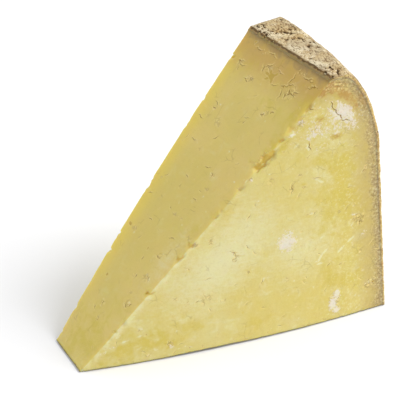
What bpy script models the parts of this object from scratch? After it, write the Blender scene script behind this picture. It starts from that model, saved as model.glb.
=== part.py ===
# A wedge of cantal cheese, cut by hand out of a tall drum and standing on its flat cut.
# The drum's axis is upright and lies to the left of the piece, towards -X.
# Metres, +Z up, with the origin under the middle of the piece.

import math
from random import Random

import bmesh
import bpy
import numpy as np
from mathutils import Vector, noise

# The drum that the wedge comes from
DRUM_RADIUS = 0.1957
SIDE_LEAN = 0.0882            # how far the side draws in for each metre of height
RIM_WIDTH = 0.0134            # the rounded rim, measured inwards from the side
RIM_HEIGHT = 0.0310           # and down from the flat top
RIM_FULLNESS = 1.5            # superellipse exponent: 1 is a chamfer, 2 a quarter ellipse

# The cuts
WEDGE_ANGLE = math.radians(14.7)   # between the front and the back cut, both through the axis
HEIGHT = 0.0999                    # from the level cut below to the top of the drum
FRONT_LENGTH = 0.115               # front cut, along its foot
RIDGE_TOP = 0.0907                 # where the slanted cut leaves the front cut at the top
BACK_FOOT_RADIUS = 0.0800          # where the slanted cut leaves the back cut, from the axis
BACK_TOP_RADIUS = 0.1643
FRONT_BOW = 0.0036                 # the knife wandered: the foot of the front cut swells by this
TOP_FORWARD = 0.0024
RIDGE_BOW = -0.0009                # the slanted cut is a little hollow at the front edge
BACK_EDGE_BOW = 0.0019             # and a little full at the back edge
AXIS_OFFSET = DRUM_RADIUS - FRONT_LENGTH

# How many facets the surfaces have
ROWS = 44                          # from the thin edge to the rind, and up the rind
COLUMNS = 16                       # from the front cut to the back cut
SAME_PLACE = 1e-6                  # vertices of neighbouring surfaces this close are one
SLIVER = 0.00003                   # and edges this short are closed up after the breaks

# Relief: (depth, size of the lumps), in metres
PASTE_WAVES = (0.00028, 0.017)
PASTE_CRUMB = (0.00013, 0.0042)
RIND_WAVES = (0.00055, 0.011)
RIND_CRUST = (0.00050, 0.0041)
RIND_SETTLE = 0.0035               # the crust's roughness fades in over this distance from a cut

# The level cut
FLAT_TOLERANCE = 1e-6              # a vertex below this height belongs to the level cut
LOWEST_RELIEF = 0.0004             # relief next to it never reaches lower than this

# Crumbs that broke away where the slanted cut meets the front cut:
# (place along the edge, place across the slanted cut, length, width, depth)
RIDGE_CHIPS = [
    (0.728, 0.012, 0.0082, 0.0030, 0.0014),
    (0.772, -0.010, 0.0040, 0.0026, 0.0010),
    (0.842, 0.000, 0.0038, 0.0022, 0.0010),
    (0.640, 0.000, 0.0030, 0.0018, 0.0007),
    (0.548, -0.010, 0.0034, 0.0016, 0.0006),
    (0.452, 0.000, 0.0028, 0.0024, 0.0012),
    (0.404, 0.020, 0.0044, 0.0016, 0.0011),
    (0.284, 0.030, 0.0036, 0.0022, 0.0010),
    (0.120, 0.010, 0.0026, 0.0016, 0.0006),
]
# The same along the back edge of the slanted cut
BACK_CHIPS = [
    (0.913, 1.000, 0.0016, 0.0060, 0.0022),
    (0.690, 1.010, 0.0024, 0.0020, 0.0008),
    (0.500, 1.010, 0.0032, 0.0022, 0.0010),
    (0.350, 1.000, 0.0015, 0.0032, 0.0012),
    (0.295, 0.985, 0.0014, 0.0036, 0.0011),
    (0.110, 1.010, 0.0028, 0.0022, 0.0008),
]
# Holes in the crust: (place up the rind, place across it, length, width, depth)
CRUST_PITS = [
    (0.943, 0.768, 0.0034, 0.0019, 0.0011),
    (0.925, 0.700, 0.0022, 0.0014, 0.0009),
    (0.965, 0.930, 0.0026, 0.0013, 0.0008),
    (0.940, 0.494, 0.0024, 0.0013, 0.0008),
    (0.850, 0.640, 0.0034, 0.0014, 0.0009),
    (0.902, 0.149, 0.0030, 0.0016, 0.0011),
    (0.640, 0.380, 0.0028, 0.0015, 0.0009),
    (0.420, 0.720, 0.0030, 0.0017, 0.0009),
    (0.230, 0.300, 0.0026, 0.0016, 0.0009),
]


def clear_scene():
    for thing in list(bpy.data.objects):
        bpy.data.objects.remove(thing, do_unlink=True)


def rind_profile(points=60):
    """The drum's skin from the level cut up to the flat top: run along it, radius, height."""
    side_height = HEIGHT - RIM_HEIGHT
    side_radius = DRUM_RADIUS - SIDE_LEAN * side_height
    turn = np.linspace(0.0, math.pi / 2, points)
    rim_radius = side_radius - RIM_WIDTH + RIM_WIDTH * np.cos(turn) ** (2 / RIM_FULLNESS)
    rim_height = side_height + RIM_HEIGHT * np.sin(turn) ** (2 / RIM_FULLNESS)
    radius = np.concatenate([[DRUM_RADIUS], rim_radius])
    height = np.concatenate([[0.0], rim_height])
    steps = np.hypot(np.diff(radius), np.diff(height))
    run = np.concatenate([[0.0], np.cumsum(steps)])
    return run, radius, height


RIND_RUN, RIND_RADIUS, RIND_HEIGHT = rind_profile()


def straight_cut_radius(front_radius, back_radius, angle):
    """Distance from the axis, at an angle, of the straight line between two points."""
    end = back_radius * np.array([math.cos(WEDGE_ANGLE), math.sin(WEDGE_ANGLE)])
    across = end - np.array([front_radius, 0.0])
    share = front_radius * np.sin(angle) / (across[1] * np.cos(angle) - across[0] * np.sin(angle))
    return front_radius * np.cos(angle) + share * (across[0] * np.cos(angle) + across[1] * np.sin(angle))


def place(out, up, across):
    """A point of the wedge.

    out runs from the thin edge (0) to the rind (1), up from the level cut (0) to the
    slanted cut (1), and across from the front cut (0) to the back cut (1).
    """
    out, up, across = np.broadcast_arrays(out, up, across)
    angle = across * WEDGE_ANGLE
    foot = straight_cut_radius(AXIS_OFFSET, BACK_FOOT_RADIUS, angle)
    top = straight_cut_radius(AXIS_OFFSET + RIDGE_TOP, BACK_TOP_RADIUS, angle)
    rim_run = RIND_RUN[-1]
    run = up * (rim_run + RIND_RADIUS[-1] - top)
    rind_radius = np.interp(run, RIND_RUN, RIND_RADIUS) - np.maximum(run - rim_run, 0.0)
    rind_height = np.interp(run, RIND_RUN, RIND_HEIGHT)
    radius = foot + out * (rind_radius - foot)
    height = out * rind_height
    swell = 4 * out * (1 - out)
    slope = np.arctan2(HEIGHT, top - foot)
    bow = swell * up ** 2 * (RIDGE_BOW * (1 - across) + BACK_EDGE_BOW * across)
    radius = radius - np.sin(slope) * bow
    height = height + np.cos(slope) * bow
    forward = (FRONT_BOW * swell * (1 - up) + TOP_FORWARD * out * up) * (1 - across)
    return np.stack([
        radius * np.cos(angle) - AXIS_OFFSET,
        radius * np.sin(angle) - forward,
        height,
    ], axis=-1)


def add_strip(mesh, points, outward):
    """Faces over a grid of points, wound so that they look outward."""
    rows, columns = points.shape[:2]
    grid = [[mesh.verts.new(points[i, j]) for j in range(columns)] for i in range(rows)]
    for i in range(rows - 1):
        for j in range(columns - 1):
            ring = [grid[i][j], grid[i + 1][j], grid[i + 1][j + 1], grid[i][j + 1]]
            mesh.faces.new(ring if outward else ring[::-1])


def add_fan(mesh, across, outward):
    """A radial cut: triangles in rows that widen from the thin edge to the rind."""
    rows = []
    for i in range(ROWS + 1):
        up = np.linspace(0.0, 1.0, i + 1) if i else np.zeros(1)
        rows.append([mesh.verts.new(point) for point in place(i / ROWS, up, across)])
    for i in range(ROWS):
        near, far = rows[i], rows[i + 1]
        for j in range(len(far) - 1):
            ring = [near[j], far[j], far[j + 1]]
            mesh.faces.new(ring if outward else ring[::-1])
            if j < len(near) - 1:
                ring = [near[j], far[j + 1], near[j + 1]]
                mesh.faces.new(ring if outward else ring[::-1])


def lumps(point, depth_and_size, seed):
    """Smooth noise of a given depth and lump size at a point."""
    depth, size = depth_and_size
    return depth * noise.noise(point / size + Vector((seed, 2.3 * seed, -seed)))


def relief(point, rind_share):
    """How far the surface stands out of its plain form at a point."""
    paste = lumps(point, PASTE_WAVES, 3) + lumps(point, PASTE_CRUMB, 5)
    crust = lumps(point, RIND_WAVES, 7) - abs(lumps(point, RIND_CRUST, 11))
    return paste * (1 - rind_share) + crust * rind_share


def distance_inside(point):
    """How deep a point lies under the drum's plain skin."""
    from_axis = math.hypot(point.x + AXIS_OFFSET, point.y)
    skin_radius = np.interp(point.z, RIND_HEIGHT, RIND_RADIUS)
    top_radius = RIND_RADIUS[-1]
    gaps = np.hypot(RIND_RADIUS - from_axis, RIND_HEIGHT - point.z)
    top_gap = HEIGHT - point.z if from_axis < top_radius else HEIGHT
    return max(0.0, min(gaps.min(), skin_radius - from_axis, top_gap))


def roughen(mesh):
    """Moves each vertex along its normal, and keeps the level cut flat."""
    mesh.normal_update()
    moved = []
    for vertex in mesh.verts:
        rind_share = max(0.0, 1.0 - distance_inside(vertex.co) / RIND_SETTLE)
        offset = relief(vertex.co, rind_share)
        target = vertex.co + vertex.normal * offset
        on_level_cut = vertex.co.z < FLAT_TOLERANCE
        target.z = 0.0 if on_level_cut else max(target.z, LOWEST_RELIEF)
        moved.append(target)
    for vertex, target in zip(mesh.verts, moved):
        vertex.co = target


def close_underside(mesh):
    """One flat face over the open loop at the level cut."""
    open_edges = [edge for edge in mesh.edges if edge.is_boundary]
    face = bmesh.ops.contextual_create(mesh, geom=open_edges)["faces"][0]
    bmesh.ops.triangulate(mesh, faces=[face])


def centre_shift(mesh):
    """The move that puts the origin under the middle of the piece."""
    spots = np.array([vertex.co for vertex in mesh.verts])
    low, high = spots.min(axis=0), spots.max(axis=0)
    return Vector((-(low[0] + high[0]) / 2, -(low[1] + high[1]) / 2, -low[2]))


def paste_material():
    material = bpy.data.materials.new("cut_paste")
    material.use_nodes = True
    shader = material.node_tree.nodes["Principled BSDF"]
    shader.inputs["Base Color"].default_value = (0.72, 0.58, 0.22, 1.0)
    shader.inputs["Roughness"].default_value = 0.55
    shader.inputs["Metallic"].default_value = 0.0
    return material


def crust_material():
    material = bpy.data.materials.new("dry_crust")
    material.use_nodes = True
    shader = material.node_tree.nodes["Principled BSDF"]
    shader.inputs["Base Color"].default_value = (0.55, 0.44, 0.27, 1.0)
    shader.inputs["Roughness"].default_value = 0.9
    shader.inputs["Metallic"].default_value = 0.0
    return material


def make_wedge():
    """The whole piece: two radial cuts, the slanted cut, the rind and the level cut."""
    mesh = bmesh.new()
    steps = np.linspace(0.0, 1.0, ROWS + 1)[:, None]
    stations = np.linspace(0.0, 1.0, COLUMNS + 1)[None, :]
    add_fan(mesh, 0.0, outward=True)
    add_fan(mesh, 1.0, outward=False)
    add_strip(mesh, place(steps, 1.0, stations), outward=True)
    crust_start = len(mesh.faces)
    add_strip(mesh, place(1.0, steps, stations), outward=False)
    mesh.faces.ensure_lookup_table()
    for face in mesh.faces[crust_start:]:
        face.material_index = 1
    bmesh.ops.remove_doubles(mesh, verts=mesh.verts, dist=SAME_PLACE)
    close_underside(mesh)
    bmesh.ops.recalc_face_normals(mesh, faces=mesh.faces)
    roughen(mesh)
    bmesh.ops.triangulate(mesh, faces=[face for face in mesh.faces if len(face.verts) > 3])
    shift = centre_shift(mesh)
    bmesh.ops.translate(mesh, vec=shift, verts=mesh.verts)
    data = bpy.data.meshes.new("cheese_wedge")
    mesh.to_mesh(data)
    mesh.free()
    data.shade_smooth()
    data.set_sharp_from_angle(angle=math.radians(40))
    wedge = bpy.data.objects.new("cheese_wedge", data)
    bpy.context.scene.collection.objects.link(wedge)
    data.materials.append(paste_material())
    data.materials.append(crust_material())
    return wedge, shift


def surface_frame(out, up, across, along_name):
    """Place, direction along the edge and outward normal at a point of the surface."""
    step = 0.004
    here = Vector(place(out, up, across))
    if along_name == "edge":
        along = Vector(place(out + step, up, across)) - Vector(place(out - step, up, across))
        sideways = Vector(place(out, up, across + step)) - Vector(place(out, up, across - step))
    else:
        along = Vector(place(out, up + step, across)) - Vector(place(out, up - step, across))
        sideways = Vector(place(out, up, across - step)) - Vector(place(out, up, across + step))
    normal = along.cross(sideways).normalized()
    return here, along.normalized(), normal


def add_lump(collection, name, here, along, normal, sizes, random):
    """A crumb's shape, to be cut away: an uneven ball, longest along an edge."""
    length, width, depth = sizes
    mesh = bmesh.new()
    bmesh.ops.create_icosphere(mesh, subdivisions=2, radius=1.0)
    seed = Vector((random.uniform(0, 50), random.uniform(0, 50), random.uniform(0, 50)))
    side = normal.cross(along).normalized()
    lift = normal * (depth * 0.9)
    for vertex in mesh.verts:
        ball = vertex.co * (1.0 + 0.45 * noise.noise(vertex.co * 1.7 + seed))
        vertex.co = (
            here + lift
            + along * (ball.x * length / 2)
            + side * (ball.y * width / 2)
            + normal * (ball.z * depth * 1.9)
        )
    data = bpy.data.meshes.new(name)
    mesh.to_mesh(data)
    mesh.free()
    lump = bpy.data.objects.new(name, data)
    lump.hide_render = True
    lump.display_type = "WIRE"
    collection.objects.link(lump)


def make_breaks(wedge, shift):
    """Takes the missing crumbs and the crust's pits out of the wedge."""
    random = Random(12)
    collection = bpy.data.collections.new("missing_crumbs")
    bpy.context.scene.collection.children.link(collection)
    breaks = [("chip", "edge", row) for row in RIDGE_CHIPS + BACK_CHIPS]
    breaks += [("pit", "rind", row) for row in CRUST_PITS]
    for number, (kind, direction, row) in enumerate(breaks):
        first, across, length, width, depth = row
        spot = (first, 1.0, across) if direction == "edge" else (1.0, first, across)
        here, along, normal = surface_frame(*spot, direction)
        if direction == "edge":
            outward = Vector((-0.35, -1.0 if across < 0.5 else 1.0, 0.0))
            normal = (normal + 0.6 * outward.normalized()).normalized()
        add_lump(collection, f"{kind}_{number:02d}", here + shift, along, normal,
                 (length, width, depth), random)
    cut = wedge.modifiers.new("missing_crumbs", "BOOLEAN")
    cut.operation = "DIFFERENCE"
    cut.operand_type = "COLLECTION"
    cut.collection = collection
    cut.solver = "EXACT"
    tidy = wedge.modifiers.new("close_slivers", "WELD")
    tidy.merge_threshold = SLIVER


def main():
    clear_scene()
    wedge, shift = make_wedge()
    make_breaks(wedge, shift)


main()
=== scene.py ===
# Looks of a hand-cut wedge of cantal: pressed paste on its cut faces, a dry natural crust on the
# drum's skin, and white mould on the front cut. Metres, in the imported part's own frame.
import math

import bpy
import numpy as np
from mathutils import Matrix, Vector


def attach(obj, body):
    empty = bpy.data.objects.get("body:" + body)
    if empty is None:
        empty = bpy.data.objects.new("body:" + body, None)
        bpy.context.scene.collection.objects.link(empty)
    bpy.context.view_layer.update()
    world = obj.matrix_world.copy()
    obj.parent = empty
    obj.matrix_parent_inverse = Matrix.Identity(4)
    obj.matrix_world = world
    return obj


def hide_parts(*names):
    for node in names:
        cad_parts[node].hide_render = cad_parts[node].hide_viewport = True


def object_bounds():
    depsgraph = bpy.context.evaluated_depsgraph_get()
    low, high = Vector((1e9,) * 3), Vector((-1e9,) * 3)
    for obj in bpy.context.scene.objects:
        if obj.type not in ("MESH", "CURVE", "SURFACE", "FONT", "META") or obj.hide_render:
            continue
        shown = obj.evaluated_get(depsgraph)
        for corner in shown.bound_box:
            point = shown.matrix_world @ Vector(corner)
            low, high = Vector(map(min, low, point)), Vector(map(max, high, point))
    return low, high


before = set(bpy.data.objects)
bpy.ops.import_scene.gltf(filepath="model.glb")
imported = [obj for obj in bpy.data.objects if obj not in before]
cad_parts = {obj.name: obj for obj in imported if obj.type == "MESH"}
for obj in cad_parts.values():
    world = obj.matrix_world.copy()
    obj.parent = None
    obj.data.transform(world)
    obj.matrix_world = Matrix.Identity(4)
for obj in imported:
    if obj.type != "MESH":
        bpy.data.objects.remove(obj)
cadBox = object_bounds()
mm = 0.001
print("frame loaded", [round(v / mm, 1) for v in cadBox[1] - cadBox[0]], "mm")

# The drum the wedge comes from, and the cuts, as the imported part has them
drum = {
    "radius": 0.1957,
    "sideLean": 0.0882,      # metres in for each metre up
    "rimWidth": 0.0134,
    "rimHeight": 0.0310,
    "rimFullness": 1.5,      # superellipse exponent: 1 is a chamfer, 2 a quarter ellipse
    "rimPoints": 80,
}
cuts = {
    "wedgeAngle": math.radians(14.7),
    "height": 0.0999,
    "frontLength": 0.115,
    "ridgeTop": 0.0907,
    "backFootRadius": 0.0800,
    "backTopRadius": 0.1643,
    "frontBow": 0.0036,
    "topForward": 0.0024,
    "ridgeBow": -0.0009,
    "backEdgeBow": 0.0019,
}
axisOffset = drum["radius"] - cuts["frontLength"]
ridgeLength = 0.135          # along the slanted cut, from foot to crust
skinLength = 0.1116          # along the drum's profile, from the level cut to the slanted one
skinWidth = 50.0             # mm across the drum's skin, near enough all the way up
footShadowReach = 0.45             # mm up from the board over which the foot is painted dark, a painted contact shadow
frontCut, backCut, slantCut, levelCut, underCrust = range(5)      # the faces of the block of paste


def drumSkin(inset):
    # The drum's profile moved inwards by an inset: a leaning side, then a superellipse rim
    # r = side - width + width cos(t)^(2/n), z = side height + rim height sin(t)^(2/n)
    sideHeight = cuts["height"] - drum["rimHeight"]
    sideRadius = drum["radius"] - drum["sideLean"] * sideHeight
    turn = np.linspace(0, math.pi / 2, drum["rimPoints"])
    power = 2 / drum["rimFullness"]
    rimRadius = sideRadius - drum["rimWidth"] + drum["rimWidth"] * np.cos(turn) ** power
    rimHeight = sideHeight + drum["rimHeight"] * np.sin(turn) ** power
    radius = np.concatenate([[drum["radius"]], rimRadius])
    height = np.concatenate([[0.0], rimHeight])
    alongR, alongZ = np.gradient(radius), np.gradient(height)
    length = np.hypot(alongR, alongZ)
    radius = radius - inset * alongZ / length
    height = np.maximum(height + inset * alongR / length, 0)
    height[-1] = cuts["height"] - inset
    run = np.concatenate([[0.0], np.cumsum(np.hypot(np.diff(radius), np.diff(height)))])
    return run, radius, height


def straightCut(frontRadius, backRadius, angle):
    # Distance from the drum's axis, at an angle, of the straight line between two cut corners
    turn = cuts["wedgeAngle"]
    acrossX = backRadius * math.cos(turn) - frontRadius
    acrossY = backRadius * math.sin(turn)
    share = frontRadius * np.sin(angle) / (acrossY * np.cos(angle) - acrossX * np.sin(angle))
    return frontRadius * np.cos(angle) + share * (acrossX * np.cos(angle) + acrossY * np.sin(angle))


def cutLine(across):
    # The slanted cut in each radial section: the section's angle, the distances from the drum's axis of
    # the cut's foot and top, and its slope, atan(height / (top - foot))
    angle = across * cuts["wedgeAngle"]
    foot = straightCut(axisOffset, cuts["backFootRadius"], angle)
    top = straightCut(axisOffset + cuts["ridgeTop"], cuts["backTopRadius"], angle)
    return angle, foot, top, np.arctan2(cuts["height"], top - foot)


def wedgePoint(out, up, across, inset=0.0):
    # Radial sections side by side: P = foot + out * (skin(up) - foot), turned about the drum's axis
    # by across * wedge angle. out: thin edge 0, skin 1. up: level cut 0, slanted cut 1.
    out, up, across = np.broadcast_arrays(out, up, across)
    angle, foot, top, slope = cutLine(across)
    top = foot + (top - foot) * (1 - inset / cuts["height"])
    runTable, radiusTable, heightTable = drumSkin(inset)
    run = up * (runTable[-1] + radiusTable[-1] - top)
    skinRadius = np.interp(run, runTable, radiusTable) - np.maximum(run - runTable[-1], 0)
    skinHeight = np.interp(run, runTable, heightTable)
    swell = 4 * out * (1 - out)
    bow = swell * up ** 2 * (cuts["ridgeBow"] * (1 - across) + cuts["backEdgeBow"] * across)
    radius = foot + out * (skinRadius - foot) - np.sin(slope) * bow
    height = out * skinHeight + np.cos(slope) * bow
    forward = (cuts["frontBow"] * swell * (1 - up) + cuts["topForward"] * out * up) * (1 - across)
    return np.stack([
        radius * np.cos(angle) - axisOffset,
        radius * np.sin(angle) - forward,
        height,
    ], axis=-1)


def wedgeCentre():
    # The middle of the plain form's box on the floor, which is the part's origin
    steps = np.linspace(0, 1, 41)      # fine enough to find the box
    spots = wedgePoint(steps[:, None, None], steps[None, :, None], steps[None, None, :]).reshape(-1, 3)
    middle = (spots.min(axis=0) + spots.max(axis=0)) / 2
    return np.array([middle[0], middle[1], 0.0])


centre = wedgeCentre()


def ease(low, high, value):
    # 0 up to low, 1 from high on, and 3t^2 - 2t^3 between. Low may be the larger one
    share = np.clip((value - low) / (high - low), 0, 1)
    return share * share * (3 - 2 * share)


def gradientNoise(points, size, seed):
    # Perlin's noise: each lattice corner has a seeded random direction, whose dot product with the
    # offset from that corner is blended over the cell by 6t^5 - 15t^4 + 10t^3. About -0.8 to 0.8.
    tableSize = 256                    # a power of two, so that & wraps round it
    wrap = tableSize - 1
    draw = np.random.default_rng(seed)
    shuffle = draw.permutation(tableSize)
    direction = draw.normal(size=(tableSize, 3))
    direction /= np.linalg.norm(direction, axis=1, keepdims=True)
    scaled = points / size
    corner = np.floor(scaled).astype(int)
    offset = scaled - corner
    blend = offset ** 3 * (offset * (offset * 6 - 15) + 10)
    total = np.zeros(len(points))
    for step in np.ndindex(2, 2, 2):
        x, y, z = ((corner + step) & wrap).T
        entry = shuffle[(shuffle[(shuffle[x] + y) & wrap] + z) & wrap]
        weight = np.prod(np.where(step, blend, 1 - blend), axis=1)
        total += weight * np.einsum("ij,ij->i", direction[entry], offset - step)
    return total


def noiseSum(points, layers):
    # Noises added up: strength * noise for each (strength, size, seed)
    return sum(strength * gradientNoise(points, size, seed) for strength, size, seed in layers)


# Relief of the cut faces, in mm: what the knife and the crumbling curd leave
cutFinish = {
    "grain": ((0.24, 17.0, 3), (0.09, 4.2, 4), (0.035, 1.5, 5)),   # waves, curd and crumb: depth, size, seed
    "tears": (0.12, 6.5, 0.10),        # depth, size of the net, share of it that is open
    "tearBend": (0.8, 2.0, 14.0),      # how far the net bends, over what size, size of the torn places
    "crumble": (0.17, 0.08, 1.5, 0.10),    # height of the loose crumbs, depth of the gaps, size, share open
    "tearPlaces": (0.05, 0.35),        # torn where the noise of the places is above this, fully at that
    "looseCrumbs": (0.6, 0.8),         # the mark's value where fully loose, crumb size as share of the net's
    "edgeRounding": (0.30, 0.55),      # depth, reach
    "edgeCrumbling": (0.60, 2.6, 0.9),     # depth, size of the missing crumbs, reach
    "softRidge": (1.00, 1.9, 5.5, 50, 90),     # depth, reach, size of the dents, from where, full where
    "edgePlaces": (0.22, 0.5),         # crumbs are missing where the noise is above this, fully at that
    "ridgeDents": (0.55, 1.1),         # the soft ridge's even share, and its noise's strength
    "chipWall": (-0.4, 0.75),          # the rim is uneven from here outside it, and full depth is this far in
    "chipRim": ((0.85, 1.7, 14), (0.45, 0.8, 15)),     # rims of the missing crumbs: strength, size, seed
    "flap": (0.10, 0.9),               # how far one lip of a crack stands up, and its reach
    "crumbShare": (0.3, 1.0),          # crumbs, pits and cracks are shallow on the slanted cut, which the key
    "pitShare": (0.26, 0.8),           # light grazes: their share of the depth there, and elsewhere
    "cleft": (0.07, 0.16),             # depth of a crack there, and elsewhere
    "crackMouth": (-0.25, 0.1),        # a crack starts where its half width is over this, and is full at that
    "crackWall": (0.1, 0.6),           # from its middle line, full depth up to here, none from there on
    "mouldRise": 0.12,                 # how far mould stands up
    "mouldPlaces": (0.1, 0.7),         # it does from this value of the mark on, fully at that
    "underLip": (0.30, 1.9, 0.3),      # depth drawn back under the crust's lip, from where, full where
    "besideCrust": (0.06, 1.0, 4.0),   # depth next to the crust's cut edge, how far that holds, and fades
    "edgeTurn": 2.4,                   # how far from an edge the relief turns to the edge's bisector
    "footLift": (0.20, 0.62, 43.5, 30.0),  # how far the front foot stands off: least, more, from where, reach
    "footRise": (22.0, 1.0),           # the lift grows over this much before that place, and after it
    "backLift": 0.60,                  # and how far the back foot does
    "liftUneven": ((0.16, 3.4, 92),),  # its noise: strength, size, seed
    "liftFade": (2.2, 9.0),            # reach up the cuts, and in under the wedge
    "paleArrisHighlight": (2.3, 100, 55),        # reach of the pale arris, a painted highlight on paste that is drier there, and where along it that starts and is full
    "paleUneven": (0.55, 0.8, 3.1),    # its share, and the strength and size of its noise
    "glow": (5.2, 50),                 # reach of the painted glow, as of light through the back edge, full from here up
}

# Marks on the slanted cut, in mm: along it from its foot, and across it from the front cut.
# Pits: (along, across, length, width, depth, tilt in degrees)
slantPits = [
    (125.6, 23, 3.8, 1.3, 0.34, 52), (125.9, 20.6, 3.6, 1.2, 0.32, -32), (123.4, 20.4, 3.2, 1.1, 0.3, 28),
    (123.2, 22.8, 3, 1.1, 0.3, -48), (124.7, 24, 3.4, 1.2, 0.32, 84), (124.7, 21.6, 2.6, 2.4, 0.34, 0),
    (123.4, 9.7, 1.6, 0.9, 0.55, 30), (114.4, 11.3, 1.1, 0.8, 0.5, 0), (94.1, 14.2, 0.5, 0.5, 0.55, 0),
    (52.5, 27.8, 2, 1.3, 0.55, 60), (50.1, 13.9, 1.5, 0.8, 0.35, 0), (32.7, 20.8, 1.5, 1.2, 0.55, 30),
    (18.4, 10.4, 1.2, 0.9, 0.4, 40), (132, 38.4, 1.5, 1.1, 0.3, 0), (104.3, 32.6, 1.1, 0.8, 0.35, 50),
    (119.6, 28.9, 1.1, 0.7, 0.4, 15), (84.8, 12.3, 1.1, 0.7, 0.35, 20), (37.9, 1.1, 1.6, 1.2, 0.45, 0),
]
# Cracks: (along, across, length, half width, tilt in degrees)
slantCracks = [
    (130.6, 8.2, 4, 0.2, -72), (130.4, 6, 2.2, 0.16, -80), (129.5, 4, 2, 0.12, -70),
    (121.6, 11.4, 2, 0.16, 20), (123.6, 10.9, 2.8, 0.17, 35), (124.4, 8.4, 2.6, 0.17, -60),
    (122.6, 18.2, 3, 0.13, -62), (123.9, 14.8, 2.2, 0.13, -70), (126.2, 24.4, 2.4, 0.09, 60),
    (111.7, 13.6, 1.7, 0.12, 65), (114.2, 11, 1.3, 0.13, -20), (119.8, 28.6, 2, 0.13, 10),
    (122.7, 38.2, 2.3, 0.09, 20), (120.9, 36.8, 1.8, 0.09, 30), (104.4, 33, 1.8, 0.12, 85),
    (84.9, 13.4, 1.8, 0.12, 50), (50.1, 7.7, 2.4, 0.14, 85), (29.2, 4.6, 2.2, 0.12, 70),
    (30.6, 3.2, 1.8, 0.11, -20), (23.8, 13.7, 1.8, 0.11, 15), (18.9, 11, 1.4, 0.1, 75),
    (42.2, 5.2, 1.6, 0.1, 60), (39.8, 9.8, 1.4, 0.1, 10), (52.6, 24.2, 1.6, 0.09, 40),
    (130.4, 34.6, 4.2, 0.15, -86), (131.2, 28, 4.6, 0.12, -96), (123.6, 37.8, 2.9, 0.16, -79),
    (122.4, 35.8, 2.9, 0.15, -75), (118.8, 29.9, 3.2, 0.18, -100), (120, 27.7, 2.1, 0.14, -25),
    (125.6, 27.2, 3.2, 0.15, 33), (127.5, 25.6, 3.4, 0.16, -46), (127.5, 19.6, 3, 0.13, -100),
    (127.7, 13.4, 4.3, 0.14, 2), (125.4, 12.6, 4.4, 0.18, -62), (123, 9.6, 4.4, 0.18, -84),
    (121.3, 13.3, 4.2, 0.13, 11), (128.9, 3.8, 4.6, 0.14, -67), (106.2, 33.2, 3.4, 0.14, -120),
    (99, 35.1, 3, 0.15, -98), (91, 30.3, 3, 0.13, -86), (96, 23, 2.5, 0.13, -30),
    (79.1, 21.7, 2.1, 0.13, -110), (86, 16.9, 2.6, 0.13, -65), (58.7, 21.7, 2, 0.12, -90),
    (58.4, 8.6, 2.6, 0.14, -70), (112.1, 13.6, 1.6, 0.18, -30), (114.7, 10.6, 1.4, 0.18, -80),
    (66, 30, 2.2, 0.12, -60), (74.2, 12, 2, 0.11, -100), (108, 18, 2.2, 0.11, -70),
]
# Loose crumbs: (along, across, length, width, strength, tilt in degrees)
slantCrumbs = [
    (123.2, 10.2, 7.5, 5.5, 0.85, 0), (119.8, 28.7, 3.2, 4.2, 0.8, 0), (126.8, 24.8, 4.2, 6, 0.55, 20),
    (113, 12.6, 4.6, 3.4, 0.55, 0), (122.6, 37.6, 4, 4, 0.45, 0), (104.2, 32.6, 2.4, 2.4, 0.6, 0),
    (30.2, 4.6, 4.6, 3.4, 0.95, 0), (24, 13.8, 4.2, 3.4, 0.75, 0), (41.6, 5.6, 4.6, 4.2, 0.9, 30),
    (39.6, 10, 3, 3.4, 0.6, 0), (50.6, 7.4, 3.2, 2.4, 0.75, 0), (84.8, 13, 3.2, 2.6, 0.6, 0),
    (52.2, 25, 2.8, 4.2, 0.5, 0), (66, 11, 2, 2, 0.4, 0), (18.6, 10.8, 2.4, 2.2, 0.5, 0),
    (89.6, 25.2, 2.6, 2.6, 0.45, 0), (131.8, 38, 2.6, 2, 0.55, 0), (73, 30.5, 2, 2.2, 0.5, 0),
    (120.6, 3, 2.2, 2, 0.4, 0), (99.6, 1.2, 12, 3.4, 0.7, 0), (10, 3.4, 2.4, 2, 0.45, 0),
    (57.4, 15.6, 2, 2.4, 0.35, 0),
]
# Where the slanted cut is a deeper, oilier yellow, and where it is torn pale, laid out as the crumbs
slantAmber = [
    (52.5, 27.6, 2.6, 2, 0.9, 60), (124.6, 21.8, 4.8, 3.2, 1.1, 10), (32.7, 20.8, 2, 1.6, 1, 0),
    (50.1, 13.9, 1.9, 1.2, 0.6, 0), (18.4, 10.4, 1.7, 1.3, 0.7, 40), (104.3, 32.6, 1.6, 1.2, 0.6, 50),
    (121.5, 2, 26, 9, 0.8, -4), (128, 5.6, 9, 10, 0.62, 0), (106, 0.8, 17, 5.5, 0.62, -4),
    (128.5, 16, 10, 26, 0.3, 0), (126, 33.5, 12, 9, 0.45, 0), (119, 14, 13, 16, 0.25, 0),
    (134.6, 2.6, 3.4, 4.6, 1.2, 0), (37.9, 1.3, 2.8, 2.4, 0.6, 0), (54.6, 0.8, 3.6, 2.2, 0.6, 0),
    (60.6, 0.6, 2.8, 2.4, 0.6, 0), (70, 3, 22, 5, 0.3, -3), (12, 10, 40, 34, 0.42, 0),
]
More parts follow.
